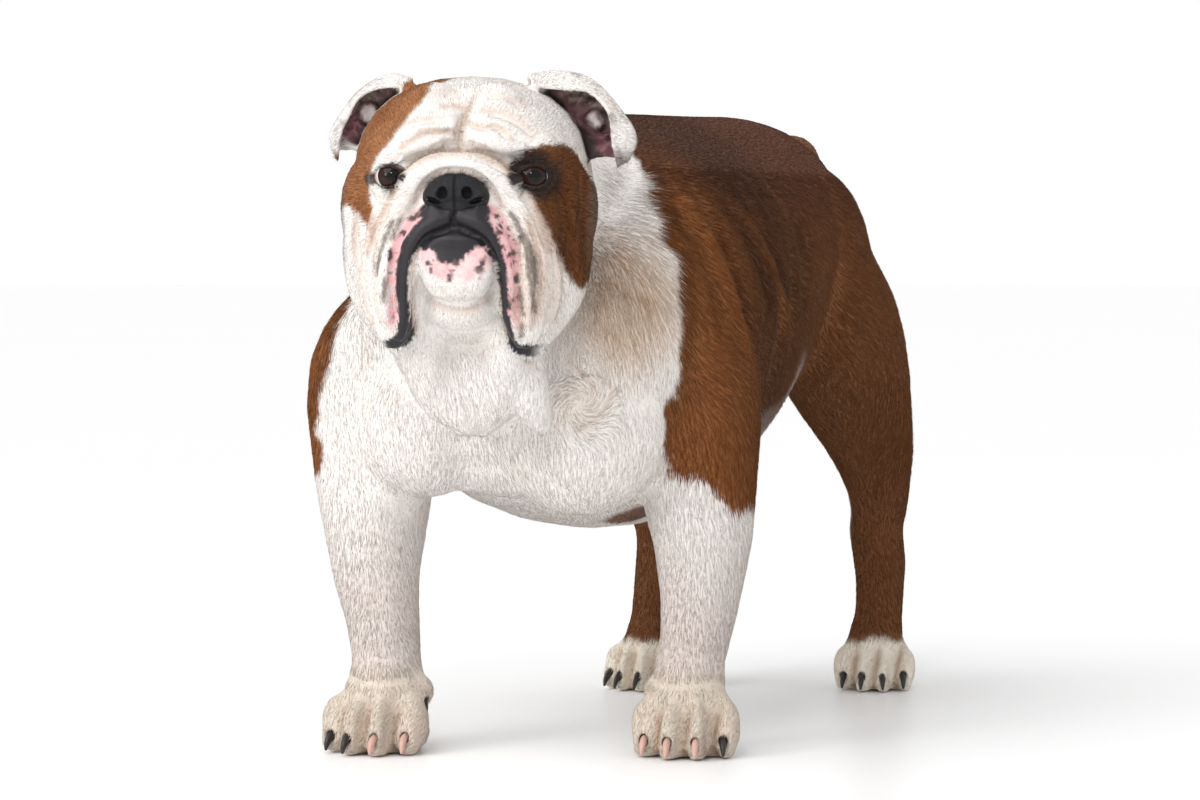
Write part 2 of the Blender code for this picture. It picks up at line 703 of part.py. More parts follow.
def body_folds(obj):
    """The loose skin folds that run down behind the shoulder, and the chest's centre line."""
    still = Matrix.Identity(4)
    side = [
        (((-62, 400), (-48, 340), (-46, 280), (-60, 230)), 7, 4.0, (40, 200)),
        (((-30, 408), (-14, 350), (-10, 290), (-18, 240)), 7, 4.0, (40, 200)),
        (((8, 410), (26, 350), (30, 300)), 7, 3.0, (40, 200)),
    ]
    furrows(obj, still, LEFT_SIDE, side)
    mirrored = [(line, width, depth, (-200, -40)) for line, width, depth, _ in side]
    furrows(obj, still, RIGHT_SIDE, mirrored)
    furrows(obj, still, FRONT, [(((-13, 250), (-13, 215), (-12, 180)), 14, 5, (-300, -150))])


def simplify(obj, faces, home, fine=None):
    """Thins the mesh to about so many triangles, with more of them kept where fine is 1."""
    if fine is not None:
        group = obj.vertex_groups.new(name="coarse")
        for i, share in enumerate(1 - fine):
            group.add([i], float(share), "REPLACE")
    mesh = obj.data
    mesh.calc_loop_triangles()
    thin = obj.modifiers.new("thin", "DECIMATE")
    thin.ratio = faces / len(mesh.loop_triangles)
    thin.use_collapse_triangulate = True
    if fine is not None:
        thin.vertex_group = "coarse"
        thin.vertex_group_factor = 6.0
    return applied(obj, home)


def swollen(obj, by, home):
    """A copy of obj grown evenly all round, for cutting its bed with a gap."""
    shape = bmesh.new()
    shape.from_mesh(obj.data)
    moves = [v.normal * (by * min(v.calc_shell_factor(), 2.0)) for v in shape.verts]
    for vertex, move in zip(shape.verts, moves):
        vertex.co += move
    mesh = bpy.data.meshes.new(obj.name + "_bed")
    shape.to_mesh(mesh)
    shape.free()
    copy = bpy.data.objects.new(obj.name + "_bed", mesh)
    home.objects.link(copy)
    return hidden(copy)


def joined(name, objects, home):
    """One mesh of several that do not touch. The objects are removed."""
    shape = bmesh.new()
    for obj in objects:
        shape.from_mesh(obj.data)
        bpy.data.objects.remove(obj)
    mesh = bpy.data.meshes.new(name)
    shape.to_mesh(mesh)
    shape.free()
    made = bpy.data.objects.new(name, mesh)
    home.objects.link(made)
    return hidden(made)


def cut(obj, cutter, home, operation="DIFFERENCE"):
    """obj less cutter, as a new plain mesh of the same name. The cutter is removed."""
    tool = obj.modifiers.new("cut", "BOOLEAN")
    tool.operation = operation
    tool.solver = "EXACT"
    tool.object = cutter
    made = applied(obj, home)
    bpy.data.objects.remove(cutter)
    return made


def part_off(name, obj, region, home):
    """The piece of obj inside region, and what is left of obj with a gap round it."""
    piece = bpy.data.objects.new(name, obj.data.copy())
    home.objects.link(piece)
    grown = swollen(region, GAP, home)
    piece = cut(piece, hidden(region), home, "INTERSECT")
    rest = cut(obj, grown, home)
    keep_largest(piece)
    keep_largest(rest)
    return piece, rest


def plate(name, centre, size, turn, home):
    """A thin plate that parts a limb: centre, width and depth, and its turn about x and y."""
    shape = bmesh.new()
    bmesh.ops.create_cube(shape, size=1.0)
    mesh = bpy.data.meshes.new(name)
    shape.to_mesh(mesh)
    shape.free()
    turns = Matrix.Rotation(math.radians(turn[1]), 4, "Y") @ Matrix.Rotation(math.radians(turn[0]), 4, "X")
    mesh.transform(Matrix.Translation(centre) @ turns @ Matrix.Diagonal((size[0], size[1], GAP, 1.0)))
    obj = bpy.data.objects.new(name, mesh)
    home.objects.link(obj)
    return hidden(obj)


def block(name, centre, size, lean, home):
    """A box turned by lean, in degrees about x."""
    obj = plate(name, (0, 0, 0), (1, 1), (0, 0), home)
    obj.data.transform(Matrix.Scale(1 / GAP, 4, (0, 0, 1)))
    turn = Matrix.Rotation(math.radians(lean), 4, "X")
    obj.data.transform(Matrix.Translation(centre) @ turn @ Matrix.Diagonal((*size, 1.0)))
    return obj


def islands_by(obj, names, key, home):
    """Splits obj into its largest islands and names them in the order of key, which reads a mean place."""
    shape = bmesh.new()
    shape.from_mesh(obj.data)
    islands = islands_of(shape)[-len(names) :]
    islands.sort(key=lambda island: key(sum((v.co for v in island), Vector()) / len(island)))
    groups = [sorted(v.index for v in island) for island in islands]
    shape.free()
    for name, group in zip(names, groups):
        kept = bmesh.new()
        kept.from_mesh(obj.data)
        kept.verts.ensure_lookup_table()
        inside = set(group)
        bmesh.ops.delete(kept, geom=[v for v in kept.verts if v.index not in inside], context="VERTS")
        mesh = bpy.data.meshes.new(name)
        kept.to_mesh(mesh)
        kept.free()
        home.objects.link(bpy.data.objects.new(name, mesh))
    bpy.data.objects.remove(obj)


def head_region(home, head):
    """Everything ahead of a bent line from the nape, behind the cheeks, and forward under the jaw."""
    line = (
        (-90, 150), (150, 150), (138, 60), (122, -10), (106, -54), (80, -84),
        (46, -98), (20, -107), (-20, -113), (-90, -120),
    )
    shape = bmesh.new()
    ring = [shape.verts.new((-170, y, z)) for y, z in line]
    face = shape.faces.new(ring)
    pulled = bmesh.ops.extrude_face_region(shape, geom=[face])
    moved = [item for item in pulled["geom"] if isinstance(item, bmesh.types.BMVert)]
    bmesh.ops.translate(shape, vec=(340, 0, 0), verts=moved)
    bmesh.ops.recalc_face_normals(shape, faces=shape.faces)
    mesh = bpy.data.meshes.new("head_region")
    shape.to_mesh(mesh)
    shape.free()
    mesh.transform(head)
    obj = bpy.data.objects.new("head_region", mesh)
    home.objects.link(obj)
    return obj


def leg_region(name, foot, table, side, crotch, home):
    """A closed sleeve round a limb: loose below the crotch and biting into the trunk above it."""
    rings = []
    for z, x, y, wide, front, back in sorted(table)[::2]:
        loose = min(max((crotch - z) / 40, 0), 1)
        inner = wide - 8 + 26 * loose
        outer = wide + 40
        centre = (foot[0] + x + side * (outer - inner) / 2, foot[1] + y, z)
        half = (outer + inner) / 2
        room = 10 + 12 * loose
        rings.append((centre, (half, 0, 0), (0, back + room, 0), (0, -front - room, 0), 2.4))
    low, high = rings[0], rings[-1]
    rings.insert(0, ((low[0][0], low[0][1], -40), *low[1:]))
    for lift, share in ((14, 0.82), (24, 0.5), (28, 0.12)):
        shrunk = [tuple(share * c for c in half) for half in high[1:4]]
        rings.append(((high[0][0], high[0][1], high[0][2] + lift), *shrunk, 2.4))
    return loft(name, rings, home, sides=16)


def stand_on_floor(obj, home):
    """Cuts the soles level, so that each paw has a flat to rest on."""
    shape = bmesh.new()
    shape.from_mesh(obj.data)
    geometry = shape.verts[:] + shape.edges[:] + shape.faces[:]
    cut_line = bmesh.ops.bisect_plane(
        shape, geom=geometry, plane_co=(0, 0, 0), plane_no=(0, 0, -1), clear_outer=True
    )
    rim = [item for item in cut_line["geom_cut"] if isinstance(item, bmesh.types.BMEdge)]
    bmesh.ops.holes_fill(shape, edges=rim)
    bmesh.ops.triangulate(shape, faces=[f for f in shape.faces if len(f.verts) > 4])
    shape.to_mesh(obj.data)
    shape.free()


def eye_openings(face, home, head):
    """An eyeball on each side, its bed, and the almond opening between lids that lie over it."""
    for side, word in ((1, "left"), (-1, "right")):
        x, y, z = EYE_CENTRE
        eye = ball(f"eye_{word}", (side * x, y, z), [EYE_RADIUS] * 3, home, head, fine=14)
        out = math.radians(EYE_LOOK_OUT) * side
        look = np.array((math.sin(out), -math.cos(out), 0.0))
        across = np.array((math.cos(out), math.sin(out), -0.06 * side))
        rings = []
        for far, grow in ((5.0, 0.9), (10.0, 1.0), (30.0, 1.4)):
            centre = np.array((side * x, y, z)) + look * far
            up = np.array((0, 0, EYE_SLIT[1] * grow))
            rings.append((centre, across * EYE_SLIT[0] * grow, up, -up * 0.9, 1.7))
        slit = hidden(loft("slit", rings, home, head, sides=16))
        face = cut(face, slit, home)
        face = cut(face, swollen(eye, GAP, home), home)
    return face


def finish(home, head):
    """Gives each node its material, sets the dog on the middle of its frame, in metres."""
    paint = {name: material(name, *look) for name, look in COLOURS.items()}
    low = np.array([np.inf] * 3)
    high = -low
    for obj in home.objects:
        points = coordinates(obj.data)
        low = np.minimum(low, points.min(axis=0))
        high = np.maximum(high, points.max(axis=0))
    middle = (low + high) / 2
    scale = 0.001 * LIFE_SCALE
    place = Matrix.Scale(scale, 4) @ Matrix.Translation((-middle[0], -middle[1], -low[2]))
    print("frame shift in millimetres", round(middle[0], 3), round(middle[1], 3), round(low[2], 3))
    for obj in home.objects:
        obj.data.transform(place)
        tidy_mesh(obj)
        obj.data.materials.clear()
        obj.data.materials.append(paint[paint_name(obj.name)])


def paint_name(node):
    if "claw" in node:
        return "claw_horn"
    if node.startswith("eye"):
        return "eye_glass"
    if node == "nose":
        return "nose_leather"
    if node == "jaw":
        return "lip_skin"
    brown = ("torso", "tail", "fore_left_upper", "hind_left_upper", "hind_left_lower")
    if node in brown or node.startswith("hind_right") and not node.endswith("paw"):
        return "coat_brown"
    return "coat_white"


def tidy_mesh(obj):
    """Welds hairline edges that a cut leaves, and leaves triangles that face out."""
    shape = bmesh.new()
    shape.from_mesh(obj.data)
    bmesh.ops.remove_doubles(shape, verts=shape.verts, dist=2e-5)
    bmesh.ops.dissolve_degenerate(shape, edges=shape.edges, dist=1e-6)
    bmesh.ops.triangulate(shape, faces=shape.faces)
    shape.to_mesh(obj.data)
    shape.free()


def body_fineness(obj, head):
    """How closely the mesh is kept: most on the face, then the paws and ears' roots, least on the trunk."""
    points = coordinates(obj.data)
    inverse = np.array(head.inverted())
    local = points @ inverse[:3, :3].T + inverse[:3, 3]
    face = np.clip((110 - local[:, 1]) / 50, 0, 1) * np.clip((local[:, 2] + 130) / 30, 0, 1)
    paws = np.clip((58 - points[:, 2]) / 16, 0, 1)
    return np.clip(0.9 * face + 0.35 * paws, 0, 0.95)


def build():
    clear_scene()
    masses = collection("masses")
    dog = collection("dog")
    head = head_frame()
    torso_mass(masses)
    neck_mass(masses)
    shoulder_masses(masses)
    tail_masses(masses)
    leg_mass("fore_left", FORE_LEFT, fore_table(1), masses)
    leg_mass("fore_right", FORE_RIGHT, fore_table(-1), masses)
    leg_mass("hind_left", HIND_LEFT, hind_table(1), masses)
    leg_mass("hind_right", HIND_RIGHT, hind_table(-1), masses)
    for leg, foot in legs():
        paw_masses(leg, foot, masses)
    skull_mass(masses, head)
    face_masses(masses, head)
    body = melt("body", masses, BODY_VOXEL, 3, dog)
    face_folds(body, head)
    toe_grooves(body)
    body_folds(body)
    body = simplify(body, BODY_FACES, dog, body_fineness(body, head))
    stand_on_floor(body, dog)

    nose_masses(masses, head)
    nose = melt("nose", masses, 1.5, 2, dog)
    jaw_masses(masses, head)
    jaw = melt("jaw", masses, 2.2, 2, dog)
    nose = simplify(nose, 320, dog)
    jaw = simplify(jaw, 330, dog)
    jaw = cut(jaw, swollen(nose, GAP, dog), dog)

    face, body = part_off("head", body, head_region(dog, head), dog)
    for side in (1, -1):
        ear = ear_sheet(side, dog, head)
        ear = cut(ear, swollen(face, GAP, dog), dog)
        keep_largest(ear)
    face = cut(face, swollen(nose, GAP, dog), dog)
    face = cut(face, swollen(jaw, GAP, dog), dog)
    nose = nostrils(nose, head, dog)
    face = eye_openings(face, dog, head)
    keep_largest(face)

    for leg, foot in legs():
        side = 1 if leg.endswith("left") else -1
        fore = leg.startswith("fore")
        table = fore_table(side) if fore else hind_table(side)
        region = leg_region(leg + "_region", foot, table, side, 158 if fore else 196, dog)
        limb, body = part_off(leg, body, region, dog)
        beds = [bpy.data.objects[name] for name in claw_masses(leg, foot, dog)]
        limb = cut(limb, joined(leg + "_beds", [swollen(claw, GAP, dog) for claw in beds], dog), dog)
        knee = 150 if fore else 190
        cuts = [
            plate(leg + "_knee", (foot[0], foot[1] - (0 if fore else 50), knee), (200, 330), (8, 0), dog),
            plate(leg + "_wrist", (foot[0], foot[1], 47 if fore else 42), (120, 160), (-8, 0), dog),
        ]
        limb = cut(limb, joined(leg + "_cuts", cuts, dog), dog)
        names = (leg + "_paw", leg + "_lower", leg + "_upper")
        islands_by(limb, names, lambda place: place.z, dog)

    tail, body = part_off("tail", body, ball("tail_region", (9, 266, 412), (30, 24, 24), dog), dog)
    neck, body = part_off("neck", body, block("withers", (0, -279, 509), (440, 560, 420), 42, dog), dog)
    body.name = "torso"
    finish(dog, head)


def legs():
    return (
        ("fore_left", FORE_LEFT),
        ("fore_right", FORE_RIGHT),
        ("hind_left", HIND_LEFT),
        ("hind_right", HIND_RIGHT),
    )


build()
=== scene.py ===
"""The looks of a life-size standing bulldog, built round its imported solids, for Blender 4.5."""

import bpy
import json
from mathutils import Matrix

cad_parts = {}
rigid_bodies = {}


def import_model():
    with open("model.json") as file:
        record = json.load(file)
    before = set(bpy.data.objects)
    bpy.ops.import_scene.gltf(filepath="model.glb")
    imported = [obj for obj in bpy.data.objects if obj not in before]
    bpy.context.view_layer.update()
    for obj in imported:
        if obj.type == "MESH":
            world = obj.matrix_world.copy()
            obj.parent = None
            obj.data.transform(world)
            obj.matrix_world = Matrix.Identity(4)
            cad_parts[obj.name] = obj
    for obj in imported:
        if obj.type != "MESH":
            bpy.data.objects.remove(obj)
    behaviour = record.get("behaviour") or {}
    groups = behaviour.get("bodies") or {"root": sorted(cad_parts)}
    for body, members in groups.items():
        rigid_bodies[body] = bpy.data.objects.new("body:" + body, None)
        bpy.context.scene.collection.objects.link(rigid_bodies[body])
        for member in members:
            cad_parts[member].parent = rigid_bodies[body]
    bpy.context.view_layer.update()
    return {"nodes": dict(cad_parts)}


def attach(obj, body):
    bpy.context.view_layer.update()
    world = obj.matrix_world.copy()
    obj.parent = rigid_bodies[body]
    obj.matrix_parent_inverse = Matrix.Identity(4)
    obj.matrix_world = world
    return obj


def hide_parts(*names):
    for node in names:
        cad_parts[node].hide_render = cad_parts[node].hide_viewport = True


bl_info = {
    "name": "Standing bulldog",
    "version": (1, 0, 0),
    "blender": (4, 5, 0),
    "location": "3D View > Sidebar > Bulldog",
    "description": "Skin, coat, nose, eyes and claws of a life-size still bulldog, and its studio stage",
    "category": "Object",
}

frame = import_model()

import json
import math

import bmesh
import bpy
import numpy as np
from bpy.props import FloatProperty, FloatVectorProperty, IntProperty, PointerProperty
from mathutils import Matrix, Vector

MM = 0.001
LIFE = 0.94  # real size over the size at which the face's own lines below are given
NOSE_TIP = Vector((0.03883, -0.31003, 0.35344))
HEAD_TURN = math.radians(20)
HEAD = Matrix.Translation(NOSE_TIP) @ Matrix.Rotation(HEAD_TURN, 4, "Z") @ Matrix.Scale(LIFE * MM, 4)

LEGS = ("fore_left", "fore_right", "hind_left", "hind_right")
LEG_PARTS = [f"{leg}_{part}" for leg in LEGS for part in ("upper", "lower", "paw")]
FLESH = ["head", "jaw", "neck", "torso", "tail", *LEG_PARTS]
EARS = ["ear_left", "ear_right"]
CLAWS = [name for name in frame["nodes"] if "claw" in name]

EYE_CENTRE = (44.5, 36.0, 8.5)  # of the left eye, in the head's own frame
EYE_RADIUS = 11.5
CORNEA_RISE = 0.055  # of the clear front, over the eye's radius
CORNEA_REACH = 0.66  # half its angle, in radians
LID_HALF = 9.9  # half the length of the lids' opening, and its height above and below the centre
LID_UPPER = 5.5
LID_LOWER = 5.1
EYE_LOOK_OUT = math.radians(16)
GAZE = {1: (EYE_LOOK_OUT, 0.03), -1: (math.radians(3.5), 0.10)}  # each pupil's turn and rise

BODY = Matrix.Scale(MM, 4)  # the dog's own frame, in millimetres
JOIN = 0.25 * MM  # how far the solids' copies grow, so that the gaps between them close
NOSE_GRAIN = 0.0006  # cell at which the nose melts, in metres
SOLE_LIFT = 0.0004  # of the skin over the floor
TIP_LIFT = 0.0003  # of the tufts' tips over the floor
ROOT_DEPTH = 0.0001  # of the tufts in the skin
COLOUR_JITTER = 0.0012  # how far from its root a tuft may take its colour, so that the markings' edges fray
TUFT_CHART = 0.0015  # half width of a tuft's patch on the chart
WHORL = (68, -200, 222)  # of the hair on the left of the chest, in millimetres
COAT_PIECES = 8  # that the tufts are shared out over, each under 200,000 triangles

FLOOR_RADIUS = 30.0
CAMERA_PLACE = (1.08975, -2.36111, 0.3196)
CAMERA_TURN = math.radians(25)
CAMERA_TILT = math.radians(2.246)
CAMERA_LENS = 117.0
LIGHT_AIM = Vector((0.0, -0.1, 0.22))
LIGHT_SHARE = 0.78  # of the white world that lights the dog; what the camera sees of it is whole


class Sizes(bpy.types.PropertyGroup):
    skin_grain: FloatProperty(
        name="Skin grain", description="Cell at which the flesh melts into one skin",
        default=0.00125, min=0.0008, max=0.004, unit="LENGTH",
    )
    skin_faces: IntProperty(
        name="Skin faces", description="Triangles that the finished skin keeps",
        default=186000, min=20000,
    )
    coat_depth: FloatProperty(
        name="Coat depth", description="How far the skin lies inside the solids, for the coat",
        default=0.0012, min=0.0, max=0.004, unit="LENGTH",
    )
    hair_length: FloatProperty(
        name="Hair length", description="Length of a tuft on the flank",
        default=0.0075, min=0.002, max=0.03, unit="LENGTH",
    )
    hair_width: FloatProperty(
        name="Hair width", description="Width of a tuft at its root on the flank",
        default=0.00065, min=0.0002, max=0.003, unit="LENGTH",
    )
    tufts: IntProperty(
        name="Tufts", description="Tufts of hair on the whole dog",
        default=330000, min=1000, max=360000,
    )


def colour_property(label, words, default):
    return FloatVectorProperty(
        name=label, description=words, default=default, size=3, min=0.0, max=1.0, subtype="COLOR"
    )


def tint(red, green, blue):
    """Screen values of 0 to 255 as scene-linear red, green and blue."""
    shares = [value / 255 for value in (red, green, blue)]
    return tuple(s / 12.92 if s <= 0.04045 else ((s + 0.055) / 1.055) ** 2.4 for s in shares)


class Colours(bpy.types.PropertyGroup):
    white: colour_property("White coat", "Coat of the head, chest and forelegs", tint(241, 236, 232))
    cream: colour_property("Cream coat", "Warm hair in the white coat's folds", tint(226, 206, 186))
    back: colour_property("Back", "Dark brown of the back", tint(74, 43, 27))
    flank: colour_property("Flank", "Brown of the flank and haunch", tint(92, 57, 31))
    shoulder: colour_property("Shoulder", "Orange brown of the shoulders", tint(134, 82, 44))
    tan: colour_property("Face tan", "Orange patch beside the right eye", tint(166, 116, 80))
    patch: colour_property("Eye patch", "Brown patch round the left eye", tint(104, 62, 28))
    soot: colour_property("Soot", "Dark hair round the eyes and ear tips", tint(42, 32, 28))
    pink: colour_property("Lip pink", "Bare pink skin of the lips and chin", tint(228, 158, 164))
    lip_black: colour_property("Lip black", "Black skin of the lips", tint(40, 37, 41))
    ear_inside: colour_property("Ear inside", "Bare skin inside the ears", tint(96, 60, 64))
    nose: colour_property("Nose", "Nose leather", tint(26, 25, 28))
    iris: colour_property("Iris", "Iris of the eye", tint(44, 24, 16))
    claw_dark: colour_property("Dark claw", "Black claws", tint(34, 29, 28))
    claw_pale: colour_property("Pale claw", "Pink claws", tint(198, 158, 146))
    floor: colour_property("Floor", "Studio floor", (0.95, 0.95, 0.95))


def sizes():
    return bpy.context.scene.bulldog_sizes


def colours():
    return bpy.context.scene.bulldog_colours


def through(keys, rows, at):
    """Rows of numbers run smoothly through their keys, read at other keys."""
    keys = np.asarray(keys, float)
    rows = np.asarray(rows, float)
    steps = np.diff(keys)[:, None]
    slopes = np.diff(rows, axis=0) / steps
    lean = np.empty_like(rows)
    lean[0], lean[-1] = slopes[0], slopes[-1]
    lean[1:-1] = (slopes[:-1] * steps[1:] + slopes[1:] * steps[:-1]) / (steps[:-1] + steps[1:])
    at = np.asarray(at, float)
    i = np.clip(np.searchsorted(keys, at, side="right") - 1, 0, len(keys) - 2)
    h = steps[i]
    t = (at[:, None] - keys[i][:, None]) / h
    return (
        rows[i] * (1 + 2 * t) * (1 - t) ** 2
        + rows[i + 1] * t * t * (3 - 2 * t)
        + lean[i] * h * t * (1 - t) ** 2
        - lean[i + 1] * h * t * t * (1 - t)
    )


def smooth_line(points, fine):
    """A line of points as a smooth one, with fine steps between each two of them."""
    points = np.asarray(points, float)
    if len(points) < 3:
        return points
    return through(range(len(points)), points, np.linspace(0, len(points) - 1, fine * (len(points) - 1) + 1))


def step(value, low, high):
    """0 below low, 1 above high, and smooth between. low may be the greater."""
    t = np.clip((value - low) / (high - low), 0, 1)
    return t * t * (3 - 2 * t)


def mix(a, b, share):
    """a to b by share, for numbers or rows of colours."""
    share = np.asarray(share)
    if np.ndim(a) == 2 or np.ndim(b) == 2 or np.ndim(a) == 1 and len(a) == 3 and share.ndim == 1:
        share = share[:, None]
    return a + (np.asarray(b) - a) * share


def lattice(cells, seed):
    """A settled random number from -1 to 1 for each whole-number cell."""
    x, y, z = np.moveaxis(cells.astype(np.int64), -1, 0)
    mixed = x * 73856093 ^ y * 19349663 ^ z * 83492791 ^ (seed * 2654435761)
    mixed = (mixed ^ (mixed >> 13)) * 1274126177 & 0x7FFFFFFF
    mixed = (mixed ^ (mixed >> 15)) * 2246822519 & 0x7FFFFFFF
    return mixed / 0x3FFFFFFF - 1.0


def wander(points, size, seed=1):
    """Soft noise from -1 to 1 over space, with patches of about the given size in metres."""
    scaled = np.asarray(points) / size
    cell = np.floor(scaled)
    t = scaled - cell
    t = t * t * (3 - 2 * t)
    total = np.zeros(len(scaled))
    for corner in np.ndindex(2, 2, 2):
        weight = np.prod(np.where(np.array(corner), t, 1 - t), axis=1)
        total += weight * lattice(cell + corner, seed)
    return total


def cloudy(points, size, seed=1):
    return 0.62 * wander(points, size, seed) + 0.38 * wander(points, size * 0.45, seed + 50)


def local_to(matrix, points):
    inverse = np.array(matrix.inverted())
    return points @ inverse[:3, :3].T + inverse[:3, 3]


def coordinates(mesh):
    flat = np.empty(len(mesh.vertices) * 3, np.float32)
    mesh.vertices.foreach_get("co", flat)
    return flat.reshape(-1, 3).astype(float)


def normals_of(mesh):
    flat = np.empty(len(mesh.vertices) * 3, np.float32)
    mesh.vertices.foreach_get("normal", flat)
    return flat.reshape(-1, 3).astype(float)


def set_coordinates(mesh, points):
    mesh.vertices.foreach_set("co", np.asarray(points, np.float32).ravel())
    mesh.update()


def edge_ends(mesh):
    flat = np.empty(len(mesh.edges) * 2, np.int32)
    mesh.edges.foreach_get("vertices", flat)
    return flat.reshape(-1, 2)


def triangles_of(mesh):
    mesh.calc_loop_triangles()
    count = len(mesh.loop_triangles)
    corners = np.empty(count * 3, np.int32)
    loops = np.empty(count * 3, np.int32)
    mesh.loop_triangles.foreach_get("vertices", corners)
    mesh.loop_triangles.foreach_get("loops", loops)
    return corners.reshape(-1, 3), loops.reshape(-1, 3)


def unit(rows):
    return rows / np.maximum(np.linalg.norm(rows, axis=1), 1e-12)[:, None]


def shown(name, shape):
    """A linked object from a bmesh, which is used up."""
    mesh = bpy.data.meshes.new(name)
    shape.to_mesh(mesh)
    shape.free()
    obj = bpy.data.objects.new(name, mesh)
    bpy.context.scene.collection.objects.link(obj)
    return obj


def worked_in(obj):
    """obj again, as a plain mesh with its modifiers worked in."""
    bpy.context.view_layer.update()
    graph = bpy.context.evaluated_depsgraph_get()
    mesh = bpy.data.meshes.new_from_object(obj.evaluated_get(graph))
    old = obj.data
    obj.modifiers.clear()
    obj.data = mesh
    bpy.data.meshes.remove(old)
    mesh.name = obj.name
    return obj


def melted(obj, grain):
    fuse = obj.modifiers.new("melt", "REMESH")
    fuse.mode = "VOXEL"
    fuse.voxel_size = grain
    return worked_in(obj)


def keep_largest(obj):
    """Drops every loose scrap and sealed hollow, so that one closed surface is left."""
    mesh = obj.data
    ends = edge_ends(mesh)
    label = np.arange(len(mesh.vertices))
    while True:
        low = np.minimum(label[ends[:, 0]], label[ends[:, 1]])
        new = label.copy()
        np.minimum.at(new, ends[:, 0], low)
        np.minimum.at(new, ends[:, 1], low)
        new = new[new]
        new = new[new]
        if (new == label).all():
            break
        label = new
    kept = np.bincount(label).argmax()
    shape = bmesh.new()
    shape.from_mesh(mesh)
    stray = [v for v, own in zip(shape.verts, label) if own != kept]
    bmesh.ops.delete(shape, geom=stray, context="VERTS")
    shape.to_mesh(mesh)
    shape.free()


def relax(points, ends, rounds, freedom, back=0.0):
    """Evens points over their edges. freedom is 0 where a point stays, and back restores the bulk."""
    count = np.bincount(ends.ravel(), minlength=len(points))
    for _ in range(rounds):
        for pull in (0.55, -0.55 * back):
            if not pull:
                continue
            for axis in range(3):
                values = points[:, axis]
                total = np.bincount(ends[:, 0], values[ends[:, 1]], len(points))
                total += np.bincount(ends[:, 1], values[ends[:, 0]], len(points))
                points[:, axis] = values + pull * freedom * (total / count - values)
    return points


THIN_SHARE = 6.5e-4  # how much dearer it is to lose an edge of the face, for each metre of its length
RIPPLE = 0.06 * MM  # of the body's skin while it is thinned, so that flat places keep even triangles


def thinned(obj, faces, fine):
    """Fewer triangles, with more of them kept where fine is 1."""
    mesh = obj.data
    points = coordinates(mesh)
    random = np.random.default_rng(5)
    shift = random.normal(0, 1, len(points)) * RIPPLE * (1 - fine)
    set_coordinates(mesh, points + normals_of(mesh) * shift[:, None])
    group = obj.vertex_groups.new(name="coarse")
    levels = np.round((1 - fine) * 20).astype(int)
    for level in np.unique(levels):
        group.add(np.flatnonzero(levels == level).tolist(), level / 20, "REPLACE")
    obj.data.calc_loop_triangles()
    thin = obj.modifiers.new("thin", "DECIMATE")
    thin.ratio = faces / len(obj.data.loop_triangles)
    thin.use_collapse_triangulate = True
    thin.vertex_group = "coarse"
    thin.vertex_group_factor = THIN_SHARE
    worked_in(obj)
    obj.vertex_groups.clear()
    mesh = obj.data
    points = coordinates(mesh)
    body = 1 - face_share(local_to(HEAD, points))
    set_coordinates(mesh, relax(points, edge_ends(mesh), 8, body, back=0.95))
    return obj


BEAD_STEP = 1.6  # millimetres between the balls of a roll


def beads(shape, points, radii, place=HEAD):
    """A roll of flesh: balls set close along a smooth line, which the melt joins."""
    line = smooth_line([(*p, r) for p, r in zip(points, radii)], 12)
    last = None
    for x, y, z, radius in line:
        here = Vector((x, y, z))
        if last is not None and (here - last).length < BEAD_STEP:
            continue
        last = here
        bead = bmesh.new()
        matrix = place @ Matrix.Translation(here)
        bmesh.ops.create_icosphere(bead, subdivisions=3, radius=radius, matrix=matrix)
        shape.from_mesh(mesh_of(bead))


def both(points):
    """A line on the head's left, and the same on its right."""
    return (points, [(-x, y, z) for x, y, z in points])


# Rows from the skull to the outer end of each ear. A row runs from the root over the cup's floor to the
# fold and on to the hanging flap's edge, in the head's frame: out from the midline, back and up.
EAR_ROWS = {
    1: (
        ((34, 72, 52), (36, 77, 61), (37, 80, 72.5), (41, 73, 66)),
        ((46, 82, 54), (52, 90, 62), (58, 88, 75.5), (59, 76, 64)),
        ((54, 90, 46), (66, 98, 58), (77, 92, 70), (76, 79, 62.5)),
        ((62, 92, 36), (80, 98, 46), (94, 90, 52.5), (88.5, 77, 49.5)),
        ((70, 90, 26), (88, 94, 34), (105, 84, 35), (91.5, 72, 32)),
        ((72, 86, 18), (86, 88, 23), (100, 78, 19), (95, 69, 13)),
    ),
    -1: (
        ((34, 72, 52), (36, 77, 61), (36, 80, 74), (40, 73, 68)),
        ((44, 82, 54), (50, 90, 64), (54, 88, 77), (57, 78, 68)),
        ((50, 90, 46), (60, 98, 58), (72, 91, 67.5), (73, 79, 62.5)),
        ((56, 92, 36), (70, 98, 46), (85, 88, 52), (81, 77, 48)),
        ((60, 90, 28), (76, 94, 34), (92, 83, 38), (85, 72, 34)),
        ((62, 86, 22), (74, 88, 26), (89, 77, 25), (86, 70, 18)),
    ),
}
# Ridges and the knob inside each ear's cup: a line out from the midline, back and up, and its radii.
EAR_RIDGES = {
    1: (
        (((78, 95, 49), (82, 94, 43)), (4.6, 3.8)),
        (((62, 95, 60), (72, 97, 60), (84, 95, 54)), (1.8, 2.4, 1.8)),
        (((70, 94, 38), (79, 95, 34), (88, 91, 36)), (2.0, 2.8, 1.8)),
        (((66, 93, 46), (72, 96, 48)), (1.8, 2.0)),
    ),
    -1: (
        (((66, 95, 54), (70, 94, 48)), (4.8, 4.0)),
        (((56, 94, 64), (66, 96, 62), (76, 93, 58)), (1.8, 2.4, 1.8)),
        (((62, 94, 38), (72, 94, 36), (80, 90, 38)), (2.2, 3.0, 1.8)),
        (((58, 94, 50), (62, 96, 44)), (1.8, 2.0)),
    ),
}


